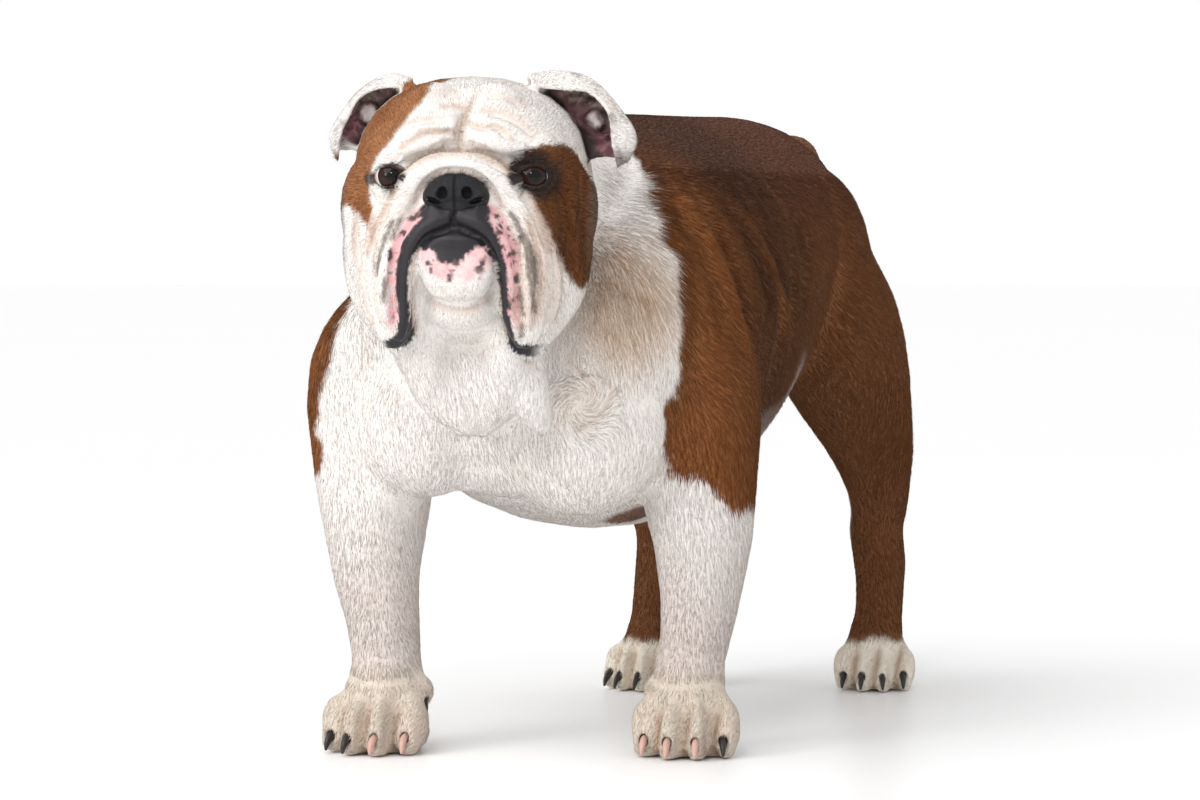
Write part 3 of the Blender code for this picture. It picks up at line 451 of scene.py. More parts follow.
def ear_form(shape, side):
    """A folded ear: from its root out to the fold, over into the hanging flap, with the knob inside."""
    columns = np.array(EAR_ROWS[side], float)
    across, out = 40, 26
    grid = bmesh.new()
    bmesh.ops.create_grid(grid, x_segments=across - 1, y_segments=out - 1, size=1.0)
    rows = through(range(6), columns.reshape(6, -1), np.linspace(0, 5, across)).reshape(across, 4, 3)
    sheet = np.array([through(range(4), column, np.linspace(0, 3, out)) for column in rows])
    for vertex in grid.verts:
        i = round((vertex.co.x + 1) / 2 * (across - 1))
        k = round((vertex.co.y + 1) / 2 * (out - 1))
        x, y, z = sheet[i, k]
        vertex.co = HEAD @ Vector((side * x, y, z))
    bmesh.ops.recalc_face_normals(grid, faces=grid.faces)
    bmesh.ops.solidify(grid, geom=grid.faces[:], thickness=3.2 * LIFE * MM)
    bmesh.ops.recalc_face_normals(grid, faces=grid.faces)
    shape.from_mesh(mesh_of(grid))
    for line, radii in EAR_RIDGES[side]:
        beads(shape, [(side * x, y, z) for x, y, z in line], radii)


def mesh_of(shape):
    mesh = bpy.data.meshes.new("part")
    shape.to_mesh(mesh)
    shape.free()
    return mesh


# Rolls of the face, which stand clear of each other: a line out from the midline, back and up, and its
# radii. In order: nose roll, lip, flew, the flew's outer fold, cheek fold and brow
FACE_ROLLS = (
    (
        ((-1, 7, 16), (14, 8, 15), (27, 12.5, 6.5), (38, 17.5, -11), (48, 22, -32), (54, 27, -56)),
        (8.4, 8.6, 9.2, 10.2, 10.2, 7.5),
    ),
    (
        (
            (3, 3, -17), (14, 1.5, -21), (24, 2.5, -30), (30, 3.5, -45), (32.5, 5.5, -61), (33, 9, -78),
            (37, 13, -92),
        ),
        (5, 6, 6, 5, 4.5, 4.5, 4.5),
    ),
    (((43, 8.5, -40), (46, 9, -58), (46, 12, -76), (43, 17, -92)), (5, 6.5, 6.5, 5)),
    (((57, 22, -38), (59, 24, -56), (57, 27, -74), (51, 30, -88)), (5, 6.5, 6.5, 5)),
    (((64, 45, -4), (69.5, 47, -26), (67, 48, -50), (60, 50, -72)), (5, 8, 8, 5)),
    (((14, 19, 30), (26, 18.5, 29), (38, 22, 25), (50, 28, 22), (58, 36, 16)), (5, 6, 6, 5, 4)),
)


def face_form(shape):
    """Rolls and folds of both sides of the face."""
    for line, radii in FACE_ROLLS:
        for points in both(line):
            beads(shape, points, radii)


def copied_solid(shape, part, grow):
    """A CAD node's solid, welded, and grown by some metres all round."""
    copy = bmesh.new()
    copy.from_mesh(frame["nodes"][part].data)
    bmesh.ops.remove_doubles(copy, verts=copy.verts, dist=2e-5)
    copy.normal_update()
    moves = [v.normal * (grow * min(v.calc_shell_factor(), 1.6)) for v in copy.verts]
    for vertex, move in zip(copy.verts, moves):
        vertex.co += move
    shape.from_mesh(mesh_of(copy))


FRONT = (0, 2, 1, -1)  # across, high and deep axes, and the sign of a normal that faces the view
LEFT_SIDE = (1, 2, 0, 1)
RIGHT_SIDE = (1, 2, 0, -1)


def along_line(flat, line, widths):
    """How far points of a plane are from a line, over its half width there, and how far along they lie."""
    line = smooth_line([(*p, w) for p, w in zip(line, widths)], 4)
    best = np.full(len(flat), np.inf)
    place = np.zeros(len(flat))
    for i in range(len(line) - 1):
        way = line[i + 1, :2] - line[i, :2]
        t = np.clip(((flat - line[i, :2]) @ way) / max(way @ way, 1e-9), 0, 1)
        wide = line[i, 2] + (line[i + 1, 2] - line[i, 2]) * t
        gap = np.linalg.norm(flat - line[i, :2] - t[:, None] * way, axis=1) / wide
        closer = gap < best
        best[closer] = gap[closer]
        place[closer] = ((i + t) / (len(line) - 1))[closer]
    return best, place


def furrows(points, normals, place, view, strokes):
    """Presses lines into the skin, or raises folds where the depth is less than 0. A stroke is a line in
    the view's plane, a half width, a depth and the range of depths at which it touches the skin."""
    local = local_to(place, points)
    facing = normals @ np.array(place.to_3x3().normalized())
    across, high, deep, sign = view
    scale = place.to_scale()[0]
    for line, width, depth, (near, far) in strokes:
        low = np.min(line, axis=0) - 3 * width
        top = np.max(line, axis=0) + 3 * width
        a, b, c = local[:, across], local[:, high], local[:, deep]
        inside = (a > low[0]) & (a < top[0]) & (b > low[1]) & (b < top[1]) & (c > near) & (c < far)
        chosen = np.flatnonzero(inside)
        if not len(chosen):
            continue
        gap, t = along_line(local[chosen][:, [across, high]], line, [width] * len(line))
        turned = np.clip(facing[chosen, deep] * sign * 2.5, 0, 1)
        fade = np.clip(np.minimum(t, 1 - t) * 6, 0.1, 1)
        shift = turned * fade * depth * np.exp(-(gap**2))
        points[chosen] -= normals[chosen] * (shift * scale)[:, None]
    return points


FACE = (-25, 75)  # depths in the head's frame at which a crease touches the face
# Creases of the face: a line across and up the head, a half width, a depth and the depths it touches
CREASES = (
    (((-14, 53.5), (-4, 53.5), (4.5, 52.7), (10, 64)), 1.5, 3.4, FACE),
    (((4.5, 52.7), (2.9, 47.7), (0.1, 39.4), (-0.4, 31.1), (0.1, 22.8)), 2.1, 4.8, FACE),
    (((-36, 27), (-24, 35.3), (-11.5, 37.4), (-2, 36.1)), 2.0, 3.8, FACE),
    (((-40, 39), (-26, 44.5), (-12, 46)), 2.4, 2.4, FACE),
    (((14, 51), (29, 47.7), (41, 41), (47, 34.4)), 2.3, 2.4, FACE),
    (((5, 42.7), (14.2, 39.4), (24.2, 40.2), (33, 33.4)), 2.2, 3.2, FACE),
    (((-30, 58), (-16, 62), (-4, 60)), 2.4, 1.8, FACE),
    (((14, 60), (28, 59), (40, 54)), 2.4, 1.8, FACE),
    (((-1, 29), (-9, 29.5), (-18, 25)), 1.6, 1.4, FACE),
    (((1, 29), (11, 28.5), (20, 24)), 1.6, 1.4, FACE),
    (
        ((-34, 13.2), (-24, 18.6), (-12.4, 22.4), (-0.7, 23.8), (12.5, 22.4), (24.2, 18), (34, 10)),
        2.3, 5.4, FACE,
    ),
    (((33, 10), (42.4, -1), (48.4, -10.4), (54.2, -23.7), (58.4, -38)), 2.3, 5.0, FACE),
    (((-33, 13.2), (-38, 4.5), (-43, -5.4), (-48, -14), (-54, -26), (-58, -40)), 2.3, 5.0, FACE),
    (((-27, -8), (-20, 3), (-10, 10.5), (0, 12), (12.5, 9.6), (21.6, 1), (28.5, -10.4)), 1.7, 3.2, FACE),
    (((26, -12), (32, -22), (37.5, -36), (39.5, -54), (39, -72), (40, -88)), 1.7, 2.4, FACE),
    (((-26, -12), (-31, -20), (-38, -36), (-40.5, -54), (-39.5, -74), (-40, -90)), 1.7, 2.2, FACE),
    (((44, -16), (50, -30), (52.5, -48), (52, -66), (48, -86)), 1.8, 2.6, FACE),
    (((-43, -14), (-50, -28), (-53, -48), (-52, -66), (-47, -84)), 1.8, 2.2, FACE),
    (((60, -30), (63, -48), (62, -66), (58, -84)), 2.0, 2.6, (-10, 90)),
    (((-60, -30), (-63, -50), (-61, -68), (-56, -84)), 2.0, 2.4, (-10, 90)),
    (((0.3, -9), (-0.8, -15), (-1.5, -23)), 1.1, 2.8, FACE),
    (((1, -25.5), (11, -27.5), (19, -33), (25, -45), (27, -60), (27.5, -76), (29, -92)), 1.5, 3.4, FACE),
    (
        ((-1, -25.5), (-12, -27.5), (-20, -33), (-26.5, -45), (-28.5, -60), (-28.5, -76), (-30, -92)),
        1.5, 3.4, FACE,
    ),
    (((74, 18), (77, 0), (76, -20), (70, -44)), 2.4, 3.0, (-10, 110)),
    (((62, 6), (67, -10), (69, -30), (66, -50)), 2.2, 3.0, (-10, 100)),
    (((-62, 4), (-67, -14), (-69, -32), (-66, -50)), 2.2, 2.2, (-10, 100)),
    (((30, -2), (40, -5), (50, -3), (58, 3)), 1.7, 1.6, FACE),
    (((-30, -2), (-40, -5), (-50, -3), (-58, 3)), 1.7, 1.6, FACE),
    (((-18, -70), (-6, -76), (8, -76), (18, -70)), 2.4, 2.2, FACE),
)


def eye_place(side):
    return HEAD @ Vector((side * EYE_CENTRE[0], EYE_CENTRE[1], EYE_CENTRE[2]))


def lid_form(points, side):
    """Opens an almond over an eyeball, and lays thick lids round it."""
    centre = np.array(eye_place(side))
    turn = HEAD_TURN + side * EYE_LOOK_OUT
    look = np.array((math.sin(turn), -math.cos(turn), 0.0))
    right = np.array((math.cos(turn), math.sin(turn), 0.0))
    spoke = points - centre
    far = np.linalg.norm(spoke, axis=1)
    near = np.flatnonzero((far < 0.024) & (spoke @ look > 0.001))
    ray = spoke[near] / far[near][:, None]
    ball = EYE_RADIUS * LIFE * MM
    u = np.arcsin(np.clip(ray @ right, -1, 1)) * ball / MM
    v = np.arcsin(np.clip(ray[:, 2], -1, 1)) * ball / MM
    u, v = u + 0.10 * side * v, v - 0.06 * side * u
    bow = np.clip(1 - (u / LID_HALF) ** 2, 0, 1) ** 0.75
    tall = np.where(v > 0, LID_UPPER, LID_LOWER) * bow
    out = np.abs(v) - tall
    out = np.maximum(out, np.abs(u) - LID_HALF)
    open_share = step(out, 0.5, -0.3)
    rim = np.exp(-((np.clip(out - 1.3, -9, 99) / 1.7) ** 2)) * (1 - open_share)
    radius = far[near]
    lid = ball + (1.35 + 0.5 * step(v, 0, 6)) * MM
    radius = mix(radius, np.minimum(np.maximum(radius, lid), lid + 1.5 * MM), np.clip(rim * 1.2, 0, 1))
    trough = np.exp(-(((out - 6.5) / 2.2) ** 2)) * step(radius, ball, ball + 2 * MM)
    radius = radius - 0.8 * MM * trough
    radius = mix(radius, ball - 1.3 * MM, open_share)
    points[near] = centre + ray * radius[:, None]
    return points


# Folds of loose skin on the left flank: a line back and up the dog, a half width, and a depth, which is
# less than 0 on a ridge. The right flank has the same, softer
FLANK_FOLDS = (
    (
        ((-102, 368), (-104, 348), (-105, 332), (-102, 313), (-97, 294), (-87, 271), (-84, 251), (-81, 224)),
        5, -2.6,
    ),
    (((-90, 362), (-93, 336), (-89, 315), (-83, 294), (-76, 274), (-72, 250)), 4.5, 3.6),
    (((-116, 352), (-120, 330), (-117, 306), (-110, 282), (-104, 250)), 6, 1.8),
    (((-70, 356), (-62, 334), (-50, 310), (-36, 288), (-30, 262)), 6, 2.4),
    (((-56, 354), (-46, 334), (-32, 312), (-14, 290), (-6, 266), (8, 250)), 5, -2.6),
    (((-38, 352), (-26, 330), (-10, 308), (6, 286), (14, 266)), 5, 2.0),
    (((20, 350), (24, 322), (20, 296), (12, 272)), 6, 1.8),
    (((77, 337), (62, 318), (46, 300), (34, 274)), 11, 2.6),
)
# The gaps between the toes of each paw: where they are across the dog, and the depth they lie in
TOE_GAPS = (
    ((96.9, 115.0, 129.5), (-165, -112)),
    ((-93.0, -75.5, -59.2), (-232, -180)),
    ((73.0, 88.6, 101.2), (236, 288)),
    ((-86.5, -72.2, -57.3), (165, 222)),
)
# The crease over each forepaw, the soft folds of the chest, and the two fine lines beside the whorl
PAW_CREASES = (
    (((72, 50), (106, 46), (140, 51)), 2.6, 1.4, (-178, -118)),
    (((-110, 50), (-76, 46), (-42, 51)), 2.6, 1.4, (-246, -186)),
)
CHEST_FOLDS = (
    (((-14, 206), (-13, 190), (-12, 172)), 9, 2.0, (-300, -150)),
    (((30, 188), (52, 168), (66, 150)), 4, 1.6, (-300, -100)),
    (((-52, 176), (-62, 160), (-66, 146)), 4, 1.6, (-300, -100)),
)
CHEST_LINES = (
    (((60, 251), (68, 243), (77, 232)), 1.7, 1.6, (-300, -100)),
    (((86, 231), (78, 217), (65, 206)), 1.7, 1.8, (-300, -100)),
)


def body_folds(points, normals):
    """Long curved folds on the flanks, then the creases of the paws and toes, and those of the chest."""
    left = [(line, width, 1.35 * depth, (40, 150)) for line, width, depth in FLANK_FOLDS]
    right = [(line, width, depth, (-150, -40)) for line, width, depth in FLANK_FOLDS]
    points = furrows(points, normals, BODY, LEFT_SIDE, left)
    points = furrows(points, normals, BODY, RIGHT_SIDE, right)
    toes = [
        (((at, -6), (at, 16), (at, 38)), 2.0, 3.4, reach)
        for places, reach in TOE_GAPS
        for at in places
    ]
    points = furrows(points, normals, BODY, FRONT, [*PAW_CREASES, *toes])
    return furrows(points, normals, BODY, FRONT, [*CHEST_FOLDS, *CHEST_LINES])


def dewlaps(shape):
    """Two soft folds of loose skin that hang from the throat, behind the lips."""
    right = ((9, -262, 252), (11, -261, 238), (14, -257, 224), (18, -251, 212))
    left = ((53, -246, 254), (54, -244, 240), (55, -239, 226), (57, -230, 212))
    beads(shape, right, (9, 11.5, 12, 9), BODY)
    beads(shape, left, (12, 14, 13, 9), BODY)


def face_share(local):
    """1 on the face and ears, 0 from the neck back."""
    return step(local[:, 1], 128, 92) * step(local[:, 2], -128, -104)


def skin_depth(points, local):
    """How far the skin lies inside the solids: the coat's depth on the body, less on face and paws."""
    face = face_share(local)
    paws = step(points[:, 2], 0.055, 0.035)
    lips = step(np.hypot(local[:, 0], (local[:, 2] + 50) * 0.6), 46, 34) * step(local[:, 1], 60, 30)
    depth = mix(1.0, 0.45, np.maximum(face, 0.7 * paws))
    return sizes().coat_depth * mix(depth, 0.15, lips * face)


def build_skin():
    shape = bmesh.new()
    for part in [*FLESH, "nose", "eye_left", "eye_right"]:
        copied_solid(shape, part, JOIN)
    for side in (1, -1):
        ear_form(shape, side)
    face_form(shape)
    dewlaps(shape)
    obj = melted(shown("skin", shape), sizes().skin_grain)
    keep_largest(obj)
    mesh = obj.data
    points = coordinates(mesh)
    ends = edge_ends(mesh)
    local = local_to(HEAD, points)
    face = face_share(local)
    paws = step(points[:, 2], 0.07, 0.045)
    legs = step(points[:, 2], 0.2, 0.16)
    points = relax(points, ends, 4, 1.0, back=0.9)
    body = 1 - np.maximum(face, paws)
    points = relax(points, ends, 34, body * (1 - 0.45 * legs))
    points = relax(points, ends, 5, np.maximum(0.8 * face, 0.8 * paws), back=0.7)
    set_coordinates(mesh, points)
    points = furrows(points, normals_of(mesh), HEAD, FRONT, CREASES)
    points = body_folds(points, normals_of(mesh))
    for side in (1, -1):
        points = lid_form(points, side)
    set_coordinates(mesh, points)
    local = local_to(HEAD, points)
    nose_bed = step(np.hypot(local[:, 0] / 19, (local[:, 2] + 1) / 11.5), 1.08, 0.9)
    nose_bed = nose_bed * step(local[:, 1], 16, 8)
    inward = skin_depth(points, local) + JOIN + 2.2 * MM * nose_bed
    thin_ear = step(np.abs(local[:, 0]), 40, 52) * step(local[:, 2], 18, 30) * step(local[:, 1], 60, 68)
    inward = mix(inward, 0.35 * MM, thin_ear)
    points = points - normals_of(mesh) * inward[:, None]
    points[:, 2] = np.maximum(points[:, 2], SOLE_LIFT)
    set_coordinates(mesh, points)
    fine = np.clip(0.97 * face_share(local) + 0.5 * step(points[:, 2], 0.06, 0.045), 0, 1)
    thinned(obj, sizes().skin_faces, fine)
    return obj


def inside_outline(flat, outline):
    """How far points of a plane lie inside a closed outline. Outside is less than 0."""
    outline = np.asarray(outline, float)
    best = np.full(len(flat), np.inf)
    inside = np.zeros(len(flat), bool)
    for a, b in zip(outline, np.roll(outline, -1, axis=0)):
        way = b - a
        t = np.clip(((flat - a) @ way) / (way @ way), 0, 1)
        best = np.minimum(best, np.linalg.norm(flat - a - t[:, None] * way, axis=1))
        crosses = (a[1] > flat[:, 1]) != (b[1] > flat[:, 1])
        with np.errstate(divide="ignore", invalid="ignore"):
            cut = a[0] + (flat[:, 1] - a[1]) / (b[1] - a[1]) * (b[0] - a[0])
        inside ^= crosses & (flat[:, 0] < cut)
    return np.where(inside, best, -best)


# Edges of the brown on the body. The first two give how far back the edge lies at a height, and the third
# how far out on the right shoulder the white of the chest reaches at a height
LEFT_EDGE = (
    (450, -92), (420, -95), (371, -109), (349, -129), (324, -140), (293, -143), (237, -146), (200, -154),
    (174, -130), (155, -112), (140, -90),
)
RIGHT_EDGE = (
    (450, -92), (420, -95), (371, -113), (340, -136), (310, -158), (290, -170), (260, -180), (220, -186),
    (190, -184), (170, -165), (155, -130), (140, -100),
)
RIGHT_FRONT = (
    (310, -140), (300, -96), (277, -95), (264, -97), (254, -99), (244, -102), (233, -106), (222, -111),
    (210, -117), (203, -119), (196, -113), (186, -113), (176, -120), (168, -160),
)
# Outlines of the head's patches, across and up the head
TAN_BAND = (
    (-27, 84), (-17, 72), (-26, 55), (-36, 43), (-46, 29), (-55, 18), (-60, 8), (-60, -1), (-57, -14),
    (-60, -26), (-66, -14), (-76, -9), (-100, -16), (-125, -8), (-125, 50), (-62, 58), (-40, 78),
)
EYE_PATCH = (
    (31, 15), (40, 24.5), (52, 28.8), (64, 29.5), (73, 24), (83, 17), (91, -2), (96, -20), (95, -36),
    (87, -53), (76, -63), (71, -60), (63, -44), (58, -29), (53, -17), (47, -6), (40, 3),
)
# The black and the pink of the lips: lines across and up the head, and their half widths
BLACK_LINES = (
    (
        (
            (-2.4, -18.7), (-15.7, -22), (-27.3, -33.6), (-33.1, -46.9), (-34.8, -61.9), (-33.1, -78.5),
            (-35.6, -93.4), (-45, -98),
        ),
        (7.5, 6.6, 5, 3.8, 3.4, 3.2, 3.8, 3.4),
    ),
    (
        (
            (-2.4, -17), (12.5, -20.4), (21.7, -30.3), (28.3, -46.9), (30, -61.9), (30.8, -80.1),
            (35.8, -100), (52.4, -101.7),
        ),
        (7.5, 7.5, 5, 3.8, 3.2, 2.8, 3.8, 3.4),
    ),
)
PINK_LINES = (
    (((-21, -14), (-30, -26), (-35, -34), (-40, -52), (-40, -72), (-41, -86)), (4, 5, 4.5, 4, 3.5, 3)),
    (((21, -14), (29, -28), (34, -42), (35, -62), (37, -84)), (4.5, 5, 4.5, 4, 3.5)),
)
# Black spots of the lips and chin: a centre across and up the head, and half its width and height
LIP_SPOTS = (
    (-28, -18, 3.4, 1.9), (-25, -16, 2.4, 1.5), (-34, -27, 2.2, 2.6), (-42, -41, 1.2, 4.0),
    (-32, -62, 2.0, 3.0), (-19, -33, 2.6, 2.2), (-8, -42, 3.2, 3.0), (1, -45, 2.6, 2.8),
    (-17, -46, 1.4, 1.3), (-3, -55, 1.7, 2.6), (5, -43, 1.3, 1.2), (38, -56, 1.6, 2.6),
    (40, -30, 1.5, 2.6), (29, -28, 1.2, 1.2), (31, -63, 2.6, 3.2), (36, -40, 1.2, 2.2),
    (34, -72, 1.6, 2.8), (-36, -76, 1.5, 2.2),
)
GREY_STREAKS = (
    ((43, -28), (48, -42), (50, -58)), ((40, -62), (42, -78)), ((48, -60), (49, -76)),
    ((-45, -56), (-46, -70)), ((-41, -20), (-47, -34), (-51, -52)), ((-36, -18), (-41, -30)),
    ((38, -20), (44, -36), (46, -50)), ((34, -14), (40, -26)), ((46, -50), (48, -64)),
    ((42, -84), (40, -92)), ((44, -30), (50, -46)),
)
CHIN_BLACK = (
    (-23, -34), (-18, -27), (-12, -24), (-2, -22), (11, -25), (21, -35), (13, -37), (8, -40), (4, -44),
    (-1, -46.5), (-9, -45), (-12, -42), (-16, -36), (-21, -39),
)
# Outline of an ear's cup, out and up, and where the grey edge of each flap fades in, outwards and upwards
EAR_CUP = (
    (36, 50), (44, 62), (56, 72), (72, 70), (88, 60), (100, 46), (104, 30), (96, 16), (74, 14), (56, 26),
    (46, 40),
)
FLAP_EDGES = {1: ((97, 90), (56, 46)), -1: ((90, 84), (50, 42))}


def reading(table, at):
    """A table's value at each height, between its rows, which run down from the top."""
    keys = np.array([row[0] for row in table], float)[::-1]
    values = np.array([row[1] for row in table], float)[::-1]
    return np.interp(at, keys, values)


def head_patches(local, base, rough):
    """The brown patch round the left eye and the orange one beside the right."""
    tones = colours()
    x, y, z = local.T
    wide = np.stack((x + 0.3 * np.sign(x) * np.clip(y - 55, 0, 99), z), axis=1)
    on_ear = step(y, 66, 72) * step(np.abs(x), 42, 52) * step(z, 4, 14)
    patch_in = inside_outline(wide, EYE_PATCH) + 1.6 * rough - 30 * on_ear
    from_eye = np.hypot(x - EYE_CENTRE[0], (z - EYE_CENTRE[2]) * 1.15)
    patch = mix(np.array(tones.patch), np.array(tones.tan), 0.55 * step(x, 74, 90))
    # Painted shade: dark stripes for the folds on the patch's outer, lower part.
    folds = np.sin((x + 0.12 * z) * 0.55) * step(x, 48, 60)
    patch = mix(patch, np.array(tones.soot), np.clip(0.42 * folds, 0, 1) * step(z, 24, -10))
    patch = mix(patch, np.array(tones.soot), 0.9 * step(from_eye, 24, 13))
    base = mix(base, patch, step(patch_in, -1.5, 1.5))

    band_in = inside_outline(wide, TAN_BAND) + 1.5 * rough - 30 * on_ear
    band = mix(np.array(tones.tan), np.array(tones.shoulder), 0.5 + 0.5 * rough)
    base = mix(base, band, step(band_in, -1.5, 1.5) * step(y, 125, 100))
    tear = step(np.hypot(x + 56, (z + 22) / 3.2), 5, 1) * step(y, 60, 40)
    return mix(base, np.array(tones.tan), 0.5 * tear)


def eye_shadows(local, base, bare, rough, fine):
    """Sooty rims of the eyes, the smudge outside the right eye and the left eye's brow."""
    soot = np.array(colours().soot)
    x, y, z = local.T
    for side, reach in ((1, 4.2), (-1, 3.4)):
        rim = side_rim(local, side)
        base = mix(base, soot, np.clip(step(rim + 1.2 * fine, reach, reach * 0.3), 0, 1))
        bare = np.maximum(bare, step(rim, 1.6, 0.6))
    smudge = step(np.hypot((x + 58) / 6.5, (z - 7.5) / 4) + 0.25 * rough, 1.2, 0.7) * step(y, 62, 54)
    base = mix(base, soot, 0.85 * smudge)
    brow = step(np.hypot((x - 44) / 15, (z - 22) / 4.5) + 0.3 * rough, 1.2, 0.6) * step(y, 74, 60)
    return mix(base, soot, 0.55 * brow), bare


def fold_shades(local, base, rough):
    """Painted shade: warmer, darker colour down in the creases and on the left flew."""
    x, y, z = local.T
    flat = np.stack((x, z), axis=1)
    crease = np.zeros(len(x))
    for line, width, depth, (_, far) in CREASES:
        gap, _ = along_line(flat, line, [width] * len(line))
        crease = np.maximum(crease, min(depth / 4, 1) * np.exp(-(gap**2)) * (y < far))
    base = base * (1 - np.outer(crease, (0.26, 0.38, 0.46)))
    # Painted shade over the left flew.
    flew = step(np.hypot((x - 47) / 13, (z + 52) / 36) + 0.2 * rough, 1.25, 0.7) * step(y, 58, 46)
    return base * (1 - np.outer(flew, (0.16, 0.24, 0.29)))


def lip_colours(points, local, base, bare, rough, fine):
    """Pink skin of the lips and chin, with its grey streaks and black spots, and the black lips."""
    tones = colours()
    x, y, z = local.T
    flat = np.stack((x, z), axis=1)
    front = step(y, 58, 46)
    pink = np.zeros(len(x))
    for line, widths in PINK_LINES:
        gap, _ = along_line(flat, line, widths)
        pink = np.maximum(pink, step(gap + 0.25 * rough, 1.5, 0.7))
    chin = step(np.hypot(x / 23, (z + 43) / 16) + 0.16 * rough, 1.1, 0.85)
    pink = np.maximum(pink, chin) * front
    mottle = np.clip(0.6 + 0.7 * rough + 0.6 * fine, 0.1, 1)
    base = mix(base, np.array(tones.pink), 0.9 * pink * mix(mottle, 1.0, 0.5 * step(z, -62, -40)))
    streaks = np.zeros(len(x))
    for line in GREY_STREAKS:
        gap, _ = along_line(flat, line, [1.5] * len(line))
        streaks = np.maximum(streaks, step(gap + 0.9 * fine, 1.7, 0.4))
    base = mix(base, mix(np.array(tones.soot), np.array(tones.cream), 0.18), 0.8 * streaks * front)
    spots = step(cloudy(points, 0.0045, 31), 0.30, 0.44) * step(pink, 0.2, 0.7) * step(z, -66, -46)
    flecks = step(cloudy(points, 0.0026, 32), 0.5, 0.62) * step(pink, 0.2, 0.7)
    spots = np.maximum(spots, 0.8 * flecks)
    for at, down, half_wide, half_tall in LIP_SPOTS:
        far = np.hypot((x - at) / half_wide, (z - down) / half_tall)
        spots = np.maximum(spots, step(far + 0.35 * rough + 0.2 * fine, 1.25, 0.8))
    base = mix(base, np.array(tones.lip_black), 0.9 * spots * front)
    black = np.zeros(len(x))
    for line, widths in BLACK_LINES:
        gap, _ = along_line(flat, line, widths)
        black = np.maximum(black, step(gap + 0.26 * rough + 0.18 * fine, 1.15, 0.95))
    under = np.hypot((x + 0.7) / 22.5, (z + 13.5) / 9.6) + 0.08 * rough
    black = np.maximum(black, step(under, 1.06, 0.96))
    chin_in = inside_outline(flat, CHIN_BLACK) + 3.4 * rough + 2.0 * fine
    black = np.maximum(black, step(chin_in, -0.6, 0.8)) * front
    base = mix(base, np.array(tones.lip_black), black)
    return base, np.maximum(bare, np.maximum(black, 0.85 * pink * step(z, -70, -56)))


def ear_colours(local, facing, side, base, bare, rough, fine):
    """Mottled skin inside an ear, with its dark hollow, which is partly painted shade, and pale knob, and
    the flap's grey edge.
    """
    tones = colours()
    soot = np.array(tones.soot)
    x, y, z = local.T
    out = side * x
    in_ear = step(out, 40, 50) * step(z, 4, 14)
    cup = ear_inside(local, facing, side)
    skin = mix(np.array(tones.ear_inside), np.array(tones.pink), np.clip(0.12 + 0.5 * rough, 0, 0.8))
    upper = step(z + 0.55 * out, 88, 100)
    grey = mix(soot, np.array(tones.cream), np.clip(0.35 + 0.9 * fine, 0, 1))
    skin = mix(skin, grey, 0.75 * upper)
    skin = mix(skin, soot, step(fine + 0.6 * rough, 0.1, 0.5) * 0.75)
    # Painted shade over the ear's own dark skin: the cup turns near black towards the skull, deep in the
    # hollow.
    past_skull = out - np.interp(z, (18, 24, 34, 44, 58, 66), (79, 77, 71, 62, 53, 44))
    skin = mix(skin, 0.55 * soot, 0.92 * step(past_skull + 2.5 * rough, 11, 3))
    knob_at = np.array(EAR_RIDGES[side][0][0][0]) * (side, 1, 1) + (2 * side, -2, -3)
    far = np.linalg.norm(local - knob_at, axis=1)
    skin = mix(skin, soot, 0.7 * step(far, 10, 8) * step(far, 6, 7.5))
    skin = mix(skin, np.array(tones.white), 0.6 * step(far + 1.5 * fine, 6.5, 4.0))
    base = mix(base, skin, cup * in_ear)
    flap = step(out, 76, 84) * step(y, 98, 92) * (1 - cup)
    tip = step(z + 2.5 * rough, 30, 17)
    outward, upward = FLAP_EDGES[side]
    edge = step(out + 1.5 * rough, *outward) * step(z, *upward)
    grey = 0.95 * tip + 0.75 * edge * np.clip(0.6 + fine, 0, 1) + 0.25 * step(fine, 0.1, 0.5)
    base = mix(base, mix(soot, np.array(tones.cream), 0.12), 0.85 * flap * np.clip(grey, 0, 1))
    rim = step(out, 54, 62) * step(y, 78, 84) * step(rough + fine, 0.1, 0.7) * (1 - cup)
    return mix(base, soot, 0.4 * rim * in_ear), np.maximum(bare, 0.75 * cup * in_ear)


def head_colours(points, local, facing, base, bare):
    """Patches, eye rims, painted shade in the folds, lips and ears over the base colour, and how far the
    skin is bare.
    """
    rough = cloudy(points, 0.006, 11)
    fine = cloudy(points, 0.0025, 12)
    base = head_patches(local, base, rough)
    base, bare = eye_shadows(local, base, bare, rough, fine)
    base = fold_shades(local, base, rough)
    base, bare = lip_colours(points, local, base, bare, rough, fine)
    bed = nose_shadow(local)
    base = mix(base, np.array(colours().lip_black) * 0.5, bed)
    bare = np.maximum(bare, bed)
    for side in (1, -1):
        base, bare = ear_colours(local, facing, side, base, bare, rough, fine)
    return base, bare


def ear_inside(local, facing, side):
    """1 on the bare skin that lines the ear's cup."""
    x, y, z = local.T
    out = side * x
    region = inside_outline(np.stack((out, z), axis=1), EAR_CUP)
    deep = np.interp(out, (38, 46, 54, 80, 90, 106), (72, 79, 86, 86, 84, 80))
    return step(y, deep - 1, deep + 2) * step(-facing[:, 1], -0.1, 0.25) * step(region, -2, 1)


def side_rim(local, side):
    """Millimetres outside the almond of an eye; large away from it."""
    x, y, z = local.T
    u = (x - side * EYE_CENTRE[0]) * 0.96
    v = (z - EYE_CENTRE[2]) * 0.94
    bow = np.clip(1 - (u / 10.9) ** 2, 0, 1) ** 0.75
    corner = np.hypot(np.maximum(np.abs(u) - 10.4, 0), v) * np.where(side * u > 0, 0.7, 1.6)
    out = np.where(np.abs(u) > 10.4, corner, np.abs(v) - 5.9 * bow)
    return np.where(y < 52, np.maximum(out, 0), 99)


